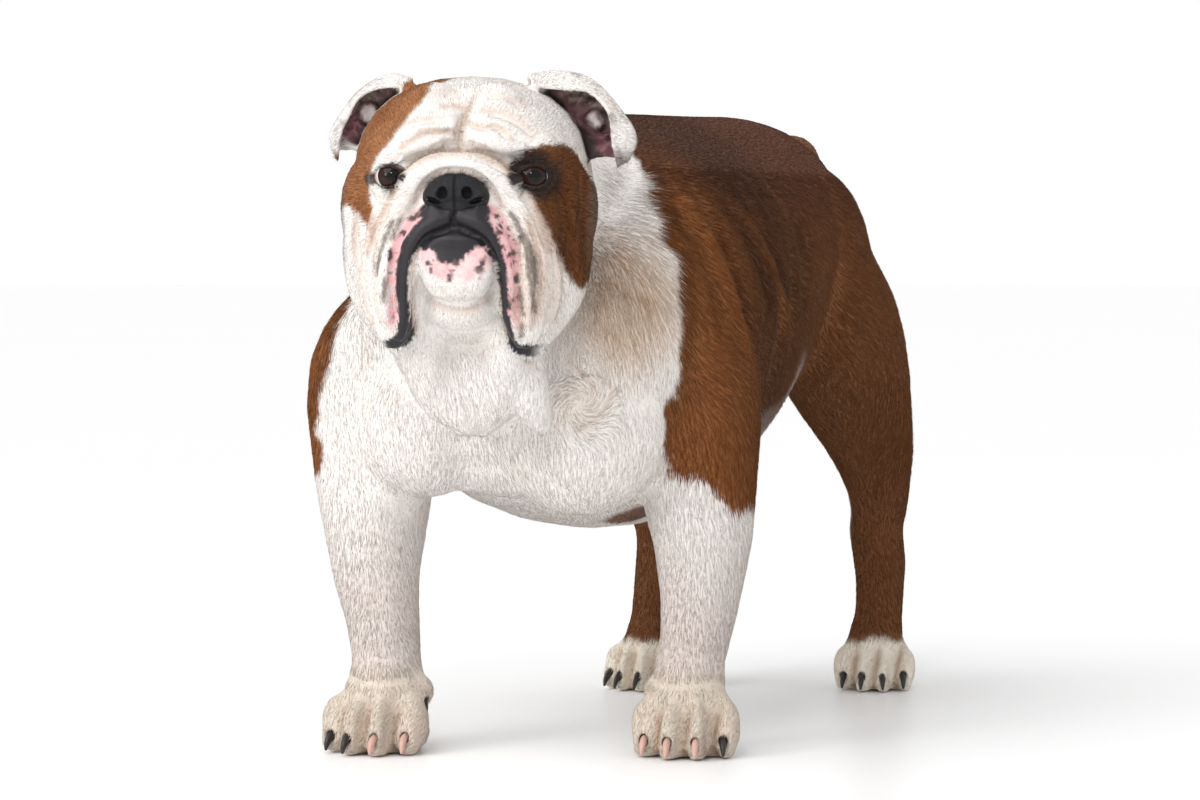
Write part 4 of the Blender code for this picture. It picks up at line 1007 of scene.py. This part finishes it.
def markings_and_painted_light(points, normals):
    """The coat's colour with its painted shade and light, and the share of bare skin at each point, from its
    place on the dog alone.
    """
    tones = colours()
    x, y, z = (points / MM).T
    local = local_to(HEAD, points)
    rough = cloudy(points, 0.012, 3)
    fine = cloudy(points, 0.004, 4)

    white = np.tile(np.array(tones.white), (len(points), 1))
    cream = np.clip(0.18 + 0.5 * cloudy(points, 0.03, 5), 0, 1)
    white = mix(white, np.array(tones.cream), 0.3 * cream)
    # Painted shade: tan in the hollow of the throat, between the dewlaps.
    throat = step(np.linalg.norm(points / MM - (32, -252, 244), axis=1) + 3 * rough, 13, 5)
    white = mix(white, np.array(tones.tan), 0.7 * throat)
    # Painted shade on the left side of the neck, in front of the brown.
    beside = step(np.linalg.norm((points / MM - (92, -180, 286)) * (1, 0.8, 0.75), axis=1), 52, 12)
    white = white * (1 - np.outer(beside, (0.24, 0.36, 0.47)))
    tick = step(np.linalg.norm((points / MM - (84, -172, 305)) * (1, 0.8, 0.6), axis=1), 42, 12)
    white = mix(white, np.array(tones.tan), 0.5 * tick * step(fine + 0.7 * rough, 0.0, 0.6))
    whorl = step(np.linalg.norm(points / MM - WHORL, axis=1), 26, 6)
    white = mix(white, np.array(tones.cream), 0.4 * whorl)
    flat = np.stack((x, z), axis=1)
    # Painted shade: tan down the two fine creases beside the whorl.
    for line, width, _, (_, far) in CHEST_LINES:
        gap, _ = along_line(flat, line, [width] * len(line))
        white = mix(white, np.array(tones.tan), 0.3 * step(gap + fine, 1.3, 0.2) * (y < far))
    # Painted shade: the white grows darker down the lower legs, as light falls off towards the floor.
    legs_low = step(z, 190, 60) * step(y, 20, -20)
    white = white * (1 - np.outer(legs_low, (0.25, 0.28, 0.30)))
    white = mix(white, np.array(tones.pink), 0.07 * legs_low * np.clip(0.5 + cloudy(points, 0.02, 9), 0, 1))
    # Painted shade: the white turns warmer and a little darker on the paws.
    paw = step(z, 62, 40)
    white = white * (1 - np.outer(paw, (0.0, 0.03, 0.12)))
    # Painted shade down in the gaps between the toes.
    for places, reach in TOE_GAPS:
        for at in places:
            share = np.exp(-(((x - at) / 2.2) ** 2)) * step(z, 36, 22) * (y > reach[0]) * (y < reach[1])
            white = white * (1 - np.outer(share, (0.42, 0.54, 0.62)))

    back = step(z, 300, 385)
    brown = mix(np.array(tones.flank), np.array(tones.back), back)
    near_left = step(y, -40, -118) * step(z, 400, 330)
    brown = mix(brown, np.array(tones.shoulder), near_left)
    behind = step(y, 150, 240) * step(z, 320, 200)
    brown = mix(brown, np.array(tones.flank), 0.8 * behind)
    lower = step(z, 190, 120) * step(y, 60, 120)
    brown = mix(brown, np.array(tones.back), 0.15 * lower)
    # Painted light: the brown lightens towards the rear, where less lamp light falls on it.
    brown = brown * (1 + 0.6 * step(y, -30, 110))[:, None]
    flat = np.stack((y, z), axis=1)
    # Painted shade along the flank folds' valleys, and painted highlight along their ridges.
    for line, width, depth in FLANK_FOLDS:
        gap, along = along_line(flat, line, [width] * len(line))
        ends = np.clip(np.minimum(along, 1 - along) * 5, 0.1, 1)
        share = np.exp(-(gap**2)) * ends * step(np.abs(x), 50, 80)
        if depth > 0:
            brown = brown * (1 - 0.16 * depth * share)[:, None]
        else:
            brown = mix(brown, np.array(tones.shoulder), 0.42 * share)
    brown = brown * (1 + 0.10 * fine + 0.10 * rough)[:, None]
    tail = step(np.linalg.norm(points / MM - (16, 276, 388), axis=1), 30, 16)
    brown = mix(brown, np.array(tones.tan), 0.3 * tail)

    wave = 5 * rough + 2.5 * fine
    left = y - reading(LEFT_EDGE, z) + wave
    right = np.maximum(y - reading(RIGHT_EDGE, z), reading(RIGHT_FRONT, z) - x) + wave
    behind_edge = np.where(x > -8, left, right)
    body = step(behind_edge, -2.5, 2.5)
    fore = step(y, 10, -30)
    body *= 1 - fore * step(z + wave * 0.8, 157, 150)
    belly = step(normals[:, 2], -0.35, -0.7) * step(z, 236, 200) * step(y, 112, 84)
    groin = step(np.linalg.norm((points / MM - (106, 66, 229)) * (1, 0.8, 0.8), axis=1) + 1.5 * wave, 22, 2)
    belly = np.maximum(belly, 0.45 * groin)
    inner_fore = fore * step(z, 210, 190) * step(np.abs(x), 92, 84)
    body *= 1 - np.maximum(belly, inner_fore)
    hind = step(y, 110, 140)
    inward = step(normals[:, 0] * -np.sign(x), 0.72, 0.95)
    inner_thigh = hind * inward * step(z, 262, 235) * step(z, 90, 150)
    body *= 1 - 0.95 * inner_thigh
    body *= 1 - hind * step(z + 0.7 * wave, 40, 33)
    spot = step(np.linalg.norm((points / MM - (53, -77, 147)) * (0.7, 1, 1), axis=1) + 0.5 * wave, 20, 14)
    body = np.maximum(body, 0.9 * spot)
    shade = step(behind_edge, 20, 3) * step(z, 190, 230) * step(z, 390, 360)
    brown = brown * (1 - 0.34 * shade)[:, None]
    colour = mix(white, brown, np.clip(body, 0, 1))

    bare = np.zeros(len(points))
    face = np.flatnonzero((local[:, 1] < 135) & (local[:, 2] > -125))
    if len(face):
        facing = normals[face] @ np.array(HEAD.to_3x3().normalized())
        mended, skin = head_colours(points[face], local[face], facing, colour[face], bare[face])
        share = step(local[face, 1], 132, 118)
        colour[face] = mix(colour[face], mended, share)
        bare[face] = skin * share
    return np.clip(colour, 0, 1), bare


def paint(obj, colour, bare):
    """Keeps the colours, and the share of bare skin if there is any, as attributes of the mesh."""
    mesh = obj.data
    rows = np.ones((len(mesh.vertices), 4), np.float32)
    rows[:, :3] = colour
    layer = mesh.color_attributes.new("coat_colour", "FLOAT_COLOR", "POINT")
    layer.data.foreach_set("color", rows.ravel())
    if bare is not None:
        share = mesh.attributes.new("bare", "FLOAT", "POINT")
        share.data.foreach_set("value", np.asarray(bare, np.float32))


def new_material(name):
    made = bpy.data.materials.new(name)
    made.use_nodes = True
    tree = made.node_tree
    return made, tree, tree.nodes["Principled BSDF"]


def node(tree, kind, **settings):
    """A new shader node, with its sockets or its own settings set by their names."""
    made = tree.nodes.new(kind)
    for key, value in settings.items():
        if key in made.inputs:
            made.inputs[key].default_value = value
        else:
            setattr(made, key.lower().replace(" ", "_"), value)
    return made


def noise(tree, scale, detail=3.0, stretch=None):
    """Noise over Object coordinates, with stretch along an axis if given."""
    place = node(tree, "ShaderNodeTexCoord")
    out = place.outputs["Object"]
    if stretch:
        mapping = node(tree, "ShaderNodeMapping", Scale=stretch)
        tree.links.new(out, mapping.inputs["Vector"])
        out = mapping.outputs["Vector"]
    made = node(tree, "ShaderNodeTexNoise", Scale=scale, Detail=detail)
    tree.links.new(out, made.inputs["Vector"])
    return made.outputs["Fac"]


def ranged(tree, value, low, high, old=(0.0, 1.0)):
    """A value's old range drawn out or in to another, from low to high."""
    made = node(tree, "ShaderNodeMapRange")
    made.inputs["From Min"].default_value = old[0]
    made.inputs["From Max"].default_value = old[1]
    made.inputs["To Min"].default_value = low
    made.inputs["To Max"].default_value = high
    tree.links.new(value, made.inputs["Value"])
    return made.outputs["Result"]


def bumped(tree, shader, height, strength, distance):
    bump = node(tree, "ShaderNodeBump", Strength=strength, Distance=distance)
    tree.links.new(height, bump.inputs["Height"])
    tree.links.new(bump.outputs["Normal"], shader.inputs["Normal"])


def shaded(tree, colour, value, low, high):
    """A colour made lighter and darker by a value."""
    share = ranged(tree, value, low, high)
    grey = node(tree, "ShaderNodeCombineColor")
    for channel in ("Red", "Green", "Blue"):
        tree.links.new(share, grey.inputs[channel])
    blend = node(tree, "ShaderNodeMix", data_type="RGBA", blend_type="MULTIPLY")
    blend.inputs["Factor"].default_value = 1.0
    tree.links.new(colour, blend.inputs[6])
    tree.links.new(grey.outputs["Color"], blend.inputs[7])
    return blend.outputs[2]


def skin_material():
    """Coat colour from the markings, with short hair as bump, and smoother, moister bare skin."""
    made, tree, shader = new_material("short_coat")
    colour = node(tree, "ShaderNodeAttribute", attribute_name="coat_colour")
    bare = node(tree, "ShaderNodeAttribute", attribute_name="bare")
    grain = noise(tree, 900.0, 2.0)
    tree.links.new(shaded(tree, colour.outputs["Color"], grain, 0.80, 1.12), shader.inputs["Base Color"])
    tree.links.new(ranged(tree, bare.outputs["Fac"], 0.82, 0.42), shader.inputs["Roughness"])
    shader.inputs["Specular IOR Level"].default_value = 0.3
    bumped(tree, shader, noise(tree, 1300.0, 3.0), 0.5, 0.0004)
    return made


def hair_material(name, roughness, sheen):
    made, tree, shader = new_material(name)
    colour = node(tree, "ShaderNodeAttribute", attribute_name="coat_colour")
    grain = noise(tree, 420.0, 2.0)
    tree.links.new(shaded(tree, colour.outputs["Color"], grain, 0.9, 1.08), shader.inputs["Base Color"])
    shader.inputs["Roughness"].default_value = roughness
    shader.inputs["Specular IOR Level"].default_value = 0.10
    shader.inputs["Sheen Weight"].default_value = sheen
    shader.inputs["Sheen Roughness"].default_value = 0.4
    return made


def nose_material():
    made, tree, shader = new_material("nose_leather")
    place = node(tree, "ShaderNodeTexCoord")
    cells = node(tree, "ShaderNodeTexVoronoi", Scale=950.0)
    cells.feature = "DISTANCE_TO_EDGE"
    tree.links.new(place.outputs["Object"], cells.inputs["Vector"])
    base = node(tree, "ShaderNodeRGB")
    base.outputs[0].default_value = (*colours().nose, 1)
    tree.links.new(shaded(tree, base.outputs[0], noise(tree, 260.0), 0.7, 1.4), shader.inputs["Base Color"])
    tree.links.new(ranged(tree, noise(tree, 500.0), 0.34, 0.5), shader.inputs["Roughness"])
    shader.inputs["Specular IOR Level"].default_value = 0.28
    pebble = ranged(tree, cells.outputs["Distance"], 0.0, 1.0, (0.0, 0.25))
    bumped(tree, shader, pebble, 0.55, 0.0005)
    return made


def eye_material(name, centre, look):
    """Pupil, iris, dark rim and white, as rings round the way the eye looks."""
    made, tree, shader = new_material(name)
    place = node(tree, "ShaderNodeTexCoord")
    spoke = node(tree, "ShaderNodeVectorMath", operation="SUBTRACT")
    spoke.inputs[1].default_value = centre
    tree.links.new(place.outputs["Object"], spoke.inputs[0])
    ray = node(tree, "ShaderNodeVectorMath", operation="NORMALIZE")
    tree.links.new(spoke.outputs["Vector"], ray.inputs[0])
    facing = node(tree, "ShaderNodeVectorMath", operation="DOT_PRODUCT")
    facing.inputs[1].default_value = look
    tree.links.new(ray.outputs["Vector"], facing.inputs[0])
    angle = node(tree, "ShaderNodeMath", operation="ARCCOSINE")
    tree.links.new(facing.outputs["Value"], angle.inputs[0])
    rings = node(tree, "ShaderNodeValToRGB")
    ramp = rings.color_ramp
    iris = colours().iris
    stops = (
        (0.0, (0.004, 0.004, 0.005)),
        (0.285, (0.004, 0.004, 0.005)),
        (0.32, tuple(c * 0.8 for c in iris)),
        (0.52, tuple(c * 1.2 for c in iris)),
        (0.66, (0.008, 0.006, 0.005)),
        (0.77, (0.015, 0.010, 0.009)),
        (0.82, (0.66, 0.58, 0.54)),
        (1.0, (0.45, 0.28, 0.25)),
    )
    while len(ramp.elements) < len(stops):
        ramp.elements.new(0.5)
    for element, (position, colour) in zip(ramp.elements, stops):
        element.position = position
        element.color = (*colour, 1.0)
    tree.links.new(ranged(tree, angle.outputs["Value"], 0.0, 1.0, (0.0, 1.1)), rings.inputs["Fac"])
    mottled = shaded(tree, rings.outputs["Color"], noise(tree, 1500.0), 0.8, 1.25)
    tree.links.new(mottled, shader.inputs["Base Color"])
    shader.inputs["Roughness"].default_value = 0.3
    shader.inputs["Specular IOR Level"].default_value = 0.0
    shader.inputs["Coat Weight"].default_value = 0.45
    shader.inputs["Coat Roughness"].default_value = 0.03
    return made


def claw_material(name, colour, streak):
    made, tree, shader = new_material(name)
    base = node(tree, "ShaderNodeRGB")
    base.outputs[0].default_value = (*colour, 1)
    lines = noise(tree, 300.0, 4.0, (1.0, 0.25, 0.25))
    tree.links.new(shaded(tree, base.outputs[0], lines, 1 - streak, 1 + streak), shader.inputs["Base Color"])
    tree.links.new(ranged(tree, noise(tree, 800.0), 0.32, 0.55), shader.inputs["Roughness"])
    bumped(tree, shader, lines, 0.3, 0.0004)
    return made


def dress(obj, material, slot, *nodes):
    """Gives a piece its material and smooth shading, sets it on the dog's body and hides the nodes that it
    stands for.
    """
    obj.data.materials.clear()
    obj.data.materials.append(material)
    smooth = np.ones(len(obj.data.polygons), bool)
    obj.data.polygons.foreach_set("use_smooth", smooth)
    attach(obj, "root")
    if nodes:
        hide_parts(*nodes)
    return obj


def flow(points, local, normals):
    """Which way the hair lies: off the face, back along the body, down the limbs and chest."""
    _, y, z = (points / MM).T
    way = np.tile(np.array((0.0, 1.0, -0.28)), (len(points), 1))
    way[:, 2] -= 0.5 * np.clip(np.abs(normals[:, 0]), 0, 1) * step(z, 420, 300)
    down = np.array((0.0, 0.18, -1.0))
    limb = np.maximum(step(z, 235, 170) * step(y, 10, -40), step(z, 260, 190) * step(y, 70, 120))
    way = mix(way, down, limb)
    chest = step(y, -120, -170) * step(z, 345, 290) * step(z, 120, 150)
    way = mix(way, np.array((0.0, 0.1, -1.0)), chest)
    swirl = points / MM - WHORL
    far = np.linalg.norm(swirl, axis=1)
    reach = np.maximum(far, 1e-6)[:, None]
    spin = np.cross(normals, swirl / reach) + 0.6 * swirl / reach
    way = mix(way, spin, 0.9 * step(far, 34, 14))
    neck = step(local[:, 1], 100, 150) * step(y, -90, -130) * step(z, 240, 290)
    way = mix(way, np.array((0.0, 0.75, -0.75)), 0.7 * neck)
    paw = step(z, 46, 30)
    way = mix(way, np.array((0.0, -0.9, -0.5)), paw)
    turn = np.array(HEAD.to_3x3().normalized())
    off_nose = unit(local - (0, -6, 2))
    off_nose[:, 2] += 0.35 * step(local[:, 2], 18, 34)
    hang = np.array((0.0, 0.25, -1.0))
    off_nose = mix(off_nose, hang, 0.6 * step(local[:, 2], -14, -40))
    ear = step(np.abs(local[:, 0]), 46, 58) * step(local[:, 2], 12, 22) * step(local[:, 1], 62, 70)
    outward = np.stack((np.sign(local[:, 0]), np.zeros(len(local)), -0.25 * np.ones(len(local))), axis=1)
    off_nose = mix(off_nose, outward, ear)
    way = mix(way, off_nose @ turn.T, face_share(local))
    way -= normals * np.sum(way * normals, axis=1)[:, None]
    return unit(way)


def hair_sizes(points, local):
    """Length and width of the tufts, and how many of them grow, relative to the flank."""
    _, y, z = (points / MM).T
    face = face_share(local)
    muzzle = step(local[:, 1], 46, 26)
    length = np.full(len(points), 1.0)
    length = mix(length, 0.62, step(z, 200, 120))
    length = mix(length, 0.68, step(y, -110, -150) * step(z, 300, 260))
    length = mix(length, 0.46, step(z, 50, 38))
    length = mix(length, mix(0.42, 0.30, muzzle), face)
    ruff = step(local[:, 1], 96, 120) * step(y, -60, -110) * step(z, 250, 300)
    length = mix(length, 0.9, 0.8 * ruff)
    width = mix(0.5, 1.0, step(length, 0.3, 1.0))
    number = mix(1.0, 2.4, face)
    number = mix(number, 1.4, step(z, 200, 130))
    number = mix(number, 1.8, step(z, 50, 38))
    ear = step(np.abs(local[:, 0]), 50, 60) * step(local[:, 2], 12, 22) * step(local[:, 1], 62, 70)
    length = mix(length, 0.36, ear)
    return length, width, number


def tufts_on(skin):
    """Roots spread over the skin: their places, ways up and places on its chart, and the dice."""
    mesh = skin.data
    points = coordinates(mesh)
    normals = normals_of(mesh)
    corners, loops = triangles_of(mesh)
    a, b, c = (points[corners[:, k]] for k in range(3))
    area = 0.5 * np.linalg.norm(np.cross(b - a, c - a), axis=1)
    middle = (a + b + c) / 3
    local = local_to(HEAD, middle)
    _, _, number = hair_sizes(middle, local)
    _, bare = markings_and_painted_light(middle, normals[corners[:, 0]])
    hidden = np.maximum(bare, nose_shadow(local))
    hidden = np.maximum(hidden, step(middle[:, 2] / MM, 3.0, 1.0))
    weight = area * number * np.clip(1 - 1.3 * hidden, 0, 1)
    random = np.random.default_rng(17)
    count = sizes().tufts
    total = np.cumsum(weight)
    pick = np.searchsorted(total, (np.arange(count) + random.random(count)) / count * total[-1])
    pick = np.minimum(pick, len(corners) - 1)
    u, v = random.random(count), random.random(count)
    over = u + v > 1
    u[over], v[over] = 1 - u[over], 1 - v[over]
    shares = np.stack((1 - u - v, u, v), axis=1)[:, :, None]
    roots = np.sum(points[corners[pick]] * shares, axis=1)
    flat_up = unit(np.cross(b - a, c - a))[pick]
    up = unit(unit(np.sum(normals[corners[pick]] * shares, axis=1)) + 1.5 * flat_up)
    flat = np.empty(len(mesh.loops) * 2, np.float32)
    mesh.uv_layers["OFBake"].data.foreach_get("uv", flat)
    chart = np.sum(flat.reshape(-1, 2)[loops[pick]] * shares, axis=1)
    return roots, up, chart, random


def nose_shadow(local):
    """1 where the nose covers the skin."""
    return step(np.hypot(local[:, 0] / 20, (local[:, 2] + 1) / 12), 1.1, 0.95) * step(local[:, 1], 18, 10)


def build_coat(skin):
    """Slivers of hair on every root, coloured from the markings, in pieces of equal size."""
    roots, up, chart, random = tufts_on(skin)
    local = local_to(HEAD, roots)
    length, width, _ = hair_sizes(roots, local)
    count = len(roots)
    vary = random.normal(0, 1, (count, 5))
    jitter = random.normal(0, 1, (count, 3)) * COLOUR_JITTER
    colour, _ = markings_and_painted_light(roots + jitter, up)
    dark = step(colour[:, 0], 0.6, 0.3)
    colour = np.clip(colour * (1 + mix(0.018, 0.10, dark) * vary[:, 0])[:, None], 0, 1)
    way = flow(roots, local, up)
    swing = np.radians(7) * vary[:, 1] + 0.18 * wander(roots, 0.03, 8)
    side = np.cross(way, up)
    way = way * np.cos(swing)[:, None] + side * np.sin(swing)[:, None]
    side = np.cross(way, up)
    face = face_share(local)
    degrees = mix(mix(3.4, 5.0, dark), 5.5, face) + mix(0.9, 1.5, dark) * vary[:, 2]
    lift = np.radians(np.clip(degrees, 1.2, 14))
    long = sizes().hair_length * length * np.clip(1 + 0.2 * vary[:, 3], 0.5, 1.6)
    wide = sizes().hair_width * width * np.clip(1 + 0.18 * vary[:, 4], 0.6, 1.5)
    rise = up * np.sin(lift)[:, None]
    tip = roots + (way * np.cos(lift)[:, None] + rise) * long[:, None]
    tip[:, 2] = np.maximum(tip[:, 2], TIP_LIFT)
    half = side * (wide / 2)[:, None]
    sunk = roots - up * ROOT_DEPTH
    top = roots + up * (mix(0.13, 0.24, dark) * wide)[:, None] - way * (0.3 * wide)[:, None]
    corners = np.stack((sunk - half, sunk + half, top, tip), axis=1)
    patch = np.array(((-1, -1), (1, -1), (0, 1), (0.4, 0.4))) * TUFT_CHART
    charts = np.clip(chart[:, None, :] + patch, 0, 1)
    order = np.lexsort((np.arange(count), region_of(roots, local)))
    pieces = []
    batch = math.ceil(count / COAT_PIECES)
    for k in range(COAT_PIECES):
        chosen = order[k * batch : (k + 1) * batch]
        pieces.append(tuft_mesh(f"coat_{k + 1}", corners[chosen], charts[chosen], colour[chosen]))
    return pieces


def region_of(points, local):
    """A number that sorts tufts into neighbouring regions, from the face back to the hind legs."""
    _, y, z = (points / MM).T
    return np.where(face_share(local) > 0.5, local[:, 1] - 500, y + np.where(z < 170, 150, 0))


def tuft_mesh(name, corners, charts, colour):
    """Solid slivers as one mesh. Each has three corners at its root and one at its tip."""
    count = len(corners)
    faces = np.array(((1, 0, 3), (0, 2, 3), (2, 1, 3), (0, 1, 2)))
    index = (np.arange(count)[:, None, None] * 4 + faces).reshape(-1)
    mesh = bpy.data.meshes.new(name)
    mesh.vertices.add(count * 4)
    mesh.vertices.foreach_set("co", corners.astype(np.float32).ravel())
    mesh.loops.add(len(index))
    mesh.loops.foreach_set("vertex_index", index.astype(np.int32))
    mesh.polygons.add(count * 4)
    mesh.polygons.foreach_set("loop_start", np.arange(0, len(index), 3, dtype=np.int32))
    mesh.update(calc_edges=True)
    layer = mesh.uv_layers.new(name="OFBake")
    rows = charts[:, faces.ravel()]
    layer.data.foreach_set("uv", rows.astype(np.float32).ravel())
    obj = bpy.data.objects.new(name, mesh)
    bpy.context.scene.collection.objects.link(obj)
    paint(obj, np.repeat(colour, 4, axis=0), None)
    return obj


def unwrap(obj):
    """Lays the skin out flat on a chart of its own."""
    mesh = obj.data
    for layer in list(mesh.uv_layers):
        mesh.uv_layers.remove(layer)
    mesh.uv_layers.new(name="OFBake")
    bpy.context.view_layer.objects.active = obj
    for other in bpy.context.view_layer.objects:
        other.select_set(other == obj)
    bpy.ops.object.mode_set(mode="EDIT")
    bpy.ops.mesh.select_all(action="SELECT")
    bpy.ops.uv.smart_project(angle_limit=math.radians(66), island_margin=0.002)
    bpy.ops.object.mode_set(mode="OBJECT")


class BULLDOG_OT_skin(bpy.types.Operator):
    """One skin over all the flesh, with its folds, lids, ears and markings"""

    bl_idname = "bulldog.skin"
    bl_label = "Skin"

    def execute(self, context):
        obj = build_skin()
        colour, bare = markings_and_painted_light(coordinates(obj.data), normals_of(obj.data))
        paint(obj, colour, bare)
        unwrap(obj)
        dress(obj, skin_material(), "coat_white", *FLESH, *EARS)
        return {"FINISHED"}


class BULLDOG_OT_nose(bpy.types.Operator):
    """Broad nose of moist pebbled leather, with its nostrils and centre line"""

    bl_idname = "bulldog.nose"
    bl_label = "Nose"

    def execute(self, context):
        shape = bmesh.new()
        copied_solid(shape, "nose", 0.1 * MM)
        obj = melted(shown("nose_pad", shape), NOSE_GRAIN)
        keep_largest(obj)
        mesh = obj.data
        points = relax(coordinates(mesh), edge_ends(mesh), 7, 1.0, back=0.5)
        set_coordinates(mesh, points)
        line = [(((0.0, 14), (0.2, 2), (0.0, -10), (0, -24)), 0.9, 1.5, (-20, 20))]
        points = furrows(points, normals_of(mesh), HEAD, FRONT, line)
        set_coordinates(mesh, points)
        dress(obj, nose_material(), "nose_leather", "nose")
        return {"FINISHED"}


class BULLDOG_OT_eyes(bpy.types.Operator):
    """Wet dark eyes, each a ball with a raised clear front"""

    bl_idname = "bulldog.eyes"
    bl_label = "Eyes"

    def execute(self, context):
        for side, word in ((1, "left"), (-1, "right")):
            centre = eye_place(side)
            out, rise = GAZE[side]
            turn = HEAD_TURN + out
            look = Vector((math.sin(turn), -math.cos(turn), rise)).normalized()
            radius = EYE_RADIUS * LIFE * MM
            shape = bmesh.new()
            bmesh.ops.create_uvsphere(shape, u_segments=96, v_segments=64, radius=radius)
            bmesh.ops.rotate(shape, verts=shape.verts, matrix=look.to_track_quat("Z", "Y").to_matrix())
            for vertex in shape.verts:
                angle = vertex.co.angle(look)
                vertex.co *= 1 + CORNEA_RISE * max(0.0, 1 - (angle / CORNEA_REACH) ** 2) ** 1.2
            bmesh.ops.translate(shape, verts=shape.verts, vec=centre)
            obj = shown(f"eyeball_{word}", shape)
            dress(obj, eye_material(f"eye_{word}", centre, look), "eye_glass", f"eye_{word}")
        return {"FINISHED"}


class BULLDOG_OT_claws(bpy.types.Operator):
    """Claws, pink on five toes of the forefeet and dark on the others"""

    bl_idname = "bulldog.claws"
    bl_label = "Claws"

    def execute(self, context):
        pale = ("fore_left_1", "fore_left_2", "fore_left_3", "fore_right_3", "fore_right_4")
        dark_look = claw_material("claw_dark", colours().claw_dark, 0.5)
        pale_look = claw_material("claw_pale", colours().claw_pale, 0.15)
        for tone, look in (("pale", pale_look), ("dark", dark_look)):
            names = [name for name in CLAWS if name.endswith(pale) == (tone == "pale")]
            shape = bmesh.new()
            for name in names:
                copied_solid(shape, name, 0.0)
            obj = shown(f"claws_{tone}", shape)
            rounded = obj.modifiers.new("rounded", "SUBSURF")
            rounded.levels = rounded.render_levels = 2
            dress(obj, look, "claw_horn", *names)
        return {"FINISHED"}


class BULLDOG_OT_coat(bpy.types.Operator):
    """Short flat coat of solid tufts that lie along the body"""

    bl_idname = "bulldog.coat"
    bl_label = "Coat"

    def execute(self, context):
        look = hair_material("coat_hair", 0.72, 0.0)
        for obj in build_coat(bpy.data.objects["skin"]):
            dress(obj, look, "coat_white")
        return {"FINISHED"}


class BULLDOG_OT_stage(bpy.types.Operator):
    """Pale studio floor, soft light and the camera"""

    bl_idname = "bulldog.stage"
    bl_label = "Stage"

    def execute(self, context):
        scene = context.scene
        shape = bmesh.new()
        bmesh.ops.create_circle(shape, cap_ends=True, segments=96, radius=FLOOR_RADIUS)
        floor = shown("floor", shape)
        made, tree, shader = new_material("studio_floor")
        base = node(tree, "ShaderNodeRGB")
        base.outputs[0].default_value = (*colours().floor, 1)
        clouded = shaded(tree, base.outputs[0], noise(tree, 0.6), 0.99, 1.01)
        tree.links.new(clouded, shader.inputs["Base Color"])
        shader.inputs["Roughness"].default_value = 0.35
        shader.inputs["Specular IOR Level"].default_value = 0.18
        floor.data.materials.append(made)

        world = bpy.data.worlds.new("studio")
        scene.world = world
        world.use_nodes = True
        world.node_tree.nodes["Background"].inputs["Color"].default_value = (1.0, 1.0, 1.0, 1.0)
        rays = world.node_tree.nodes.new("ShaderNodeLightPath")
        strength = ranged(world.node_tree, rays.outputs["Is Camera Ray"], LIGHT_SHARE, 1.0)
        world.node_tree.links.new(strength, world.node_tree.nodes["Background"].inputs["Strength"])
        self.lamp("softbox", (-1.0, -2.4, 1.0), 0.9, 13.0)
        self.lamp("window", (0.66, -2.25, 1.56), 0.4, 9.0)
        light = bpy.data.lights.new("studio_sun", "SUN")
        light.energy = 1.5
        light.angle = math.radians(50)
        sun = bpy.data.objects.new("studio_sun", light)
        scene.collection.objects.link(sun)
        sun.rotation_euler = Vector((0.55, 1.25, -1.5)).to_track_quat("-Z", "Y").to_euler()

        camera = bpy.data.cameras.new("camera")
        camera.lens = CAMERA_LENS
        camera.sensor_width = 36.0
        obj = bpy.data.objects.new("camera", camera)
        scene.collection.objects.link(obj)
        obj.location = CAMERA_PLACE
        turn, tilt = CAMERA_TURN, CAMERA_TILT
        level = math.cos(tilt)
        ahead = Vector((-math.sin(turn) * level, math.cos(turn) * level, -math.sin(tilt)))
        right = Vector((math.cos(turn), math.sin(turn), 0))
        over = right.cross(ahead)
        axes = Matrix((right, over, -ahead)).transposed()
        obj.rotation_euler = axes.to_euler()
        scene.camera = obj
        scene.view_settings.view_transform = "Standard"
        return {"FINISHED"}

    def lamp(self, name, place, size, power):
        """A round soft light that is aimed at the dog."""
        light = bpy.data.lights.new(name, "AREA")
        light.shape = "DISK"
        light.size = size
        light.energy = power
        obj = bpy.data.objects.new(name, light)
        bpy.context.scene.collection.objects.link(obj)
        obj.location = place
        obj.rotation_euler = (LIGHT_AIM - Vector(place)).to_track_quat("-Z", "Y").to_euler()


class BULLDOG_PT_panel(bpy.types.Panel):
    """The bulldog's pieces, in the order in which they are made"""

    bl_idname = "BULLDOG_PT_panel"
    bl_label = "Bulldog"
    bl_space_type = "VIEW_3D"
    bl_region_type = "UI"
    bl_category = "Bulldog"

    def draw(self, context):
        for operator in OPERATORS:
            self.layout.operator(operator.bl_idname)
        for group in (context.scene.bulldog_sizes, context.scene.bulldog_colours):
            for name in group.__annotations__:
                self.layout.prop(group, name)


OPERATORS = (
    BULLDOG_OT_skin,
    BULLDOG_OT_nose,
    BULLDOG_OT_eyes,
    BULLDOG_OT_claws,
    BULLDOG_OT_coat,
    BULLDOG_OT_stage,
)
CLASSES = (Sizes, Colours, *OPERATORS, BULLDOG_PT_panel)


def register():
    for each in CLASSES:
        bpy.utils.register_class(each)
    bpy.types.Scene.bulldog_sizes = PointerProperty(type=Sizes)
    bpy.types.Scene.bulldog_colours = PointerProperty(type=Colours)


def unregister():
    del bpy.types.Scene.bulldog_colours
    del bpy.types.Scene.bulldog_sizes
    for each in reversed(CLASSES):
        bpy.utils.unregister_class(each)


def main():
    register()
    bpy.ops.bulldog.skin()
    bpy.ops.bulldog.nose()
    bpy.ops.bulldog.eyes()
    bpy.ops.bulldog.claws()
    bpy.ops.bulldog.coat()
    bpy.ops.bulldog.stage()


if __name__ == "__main__":
    main()
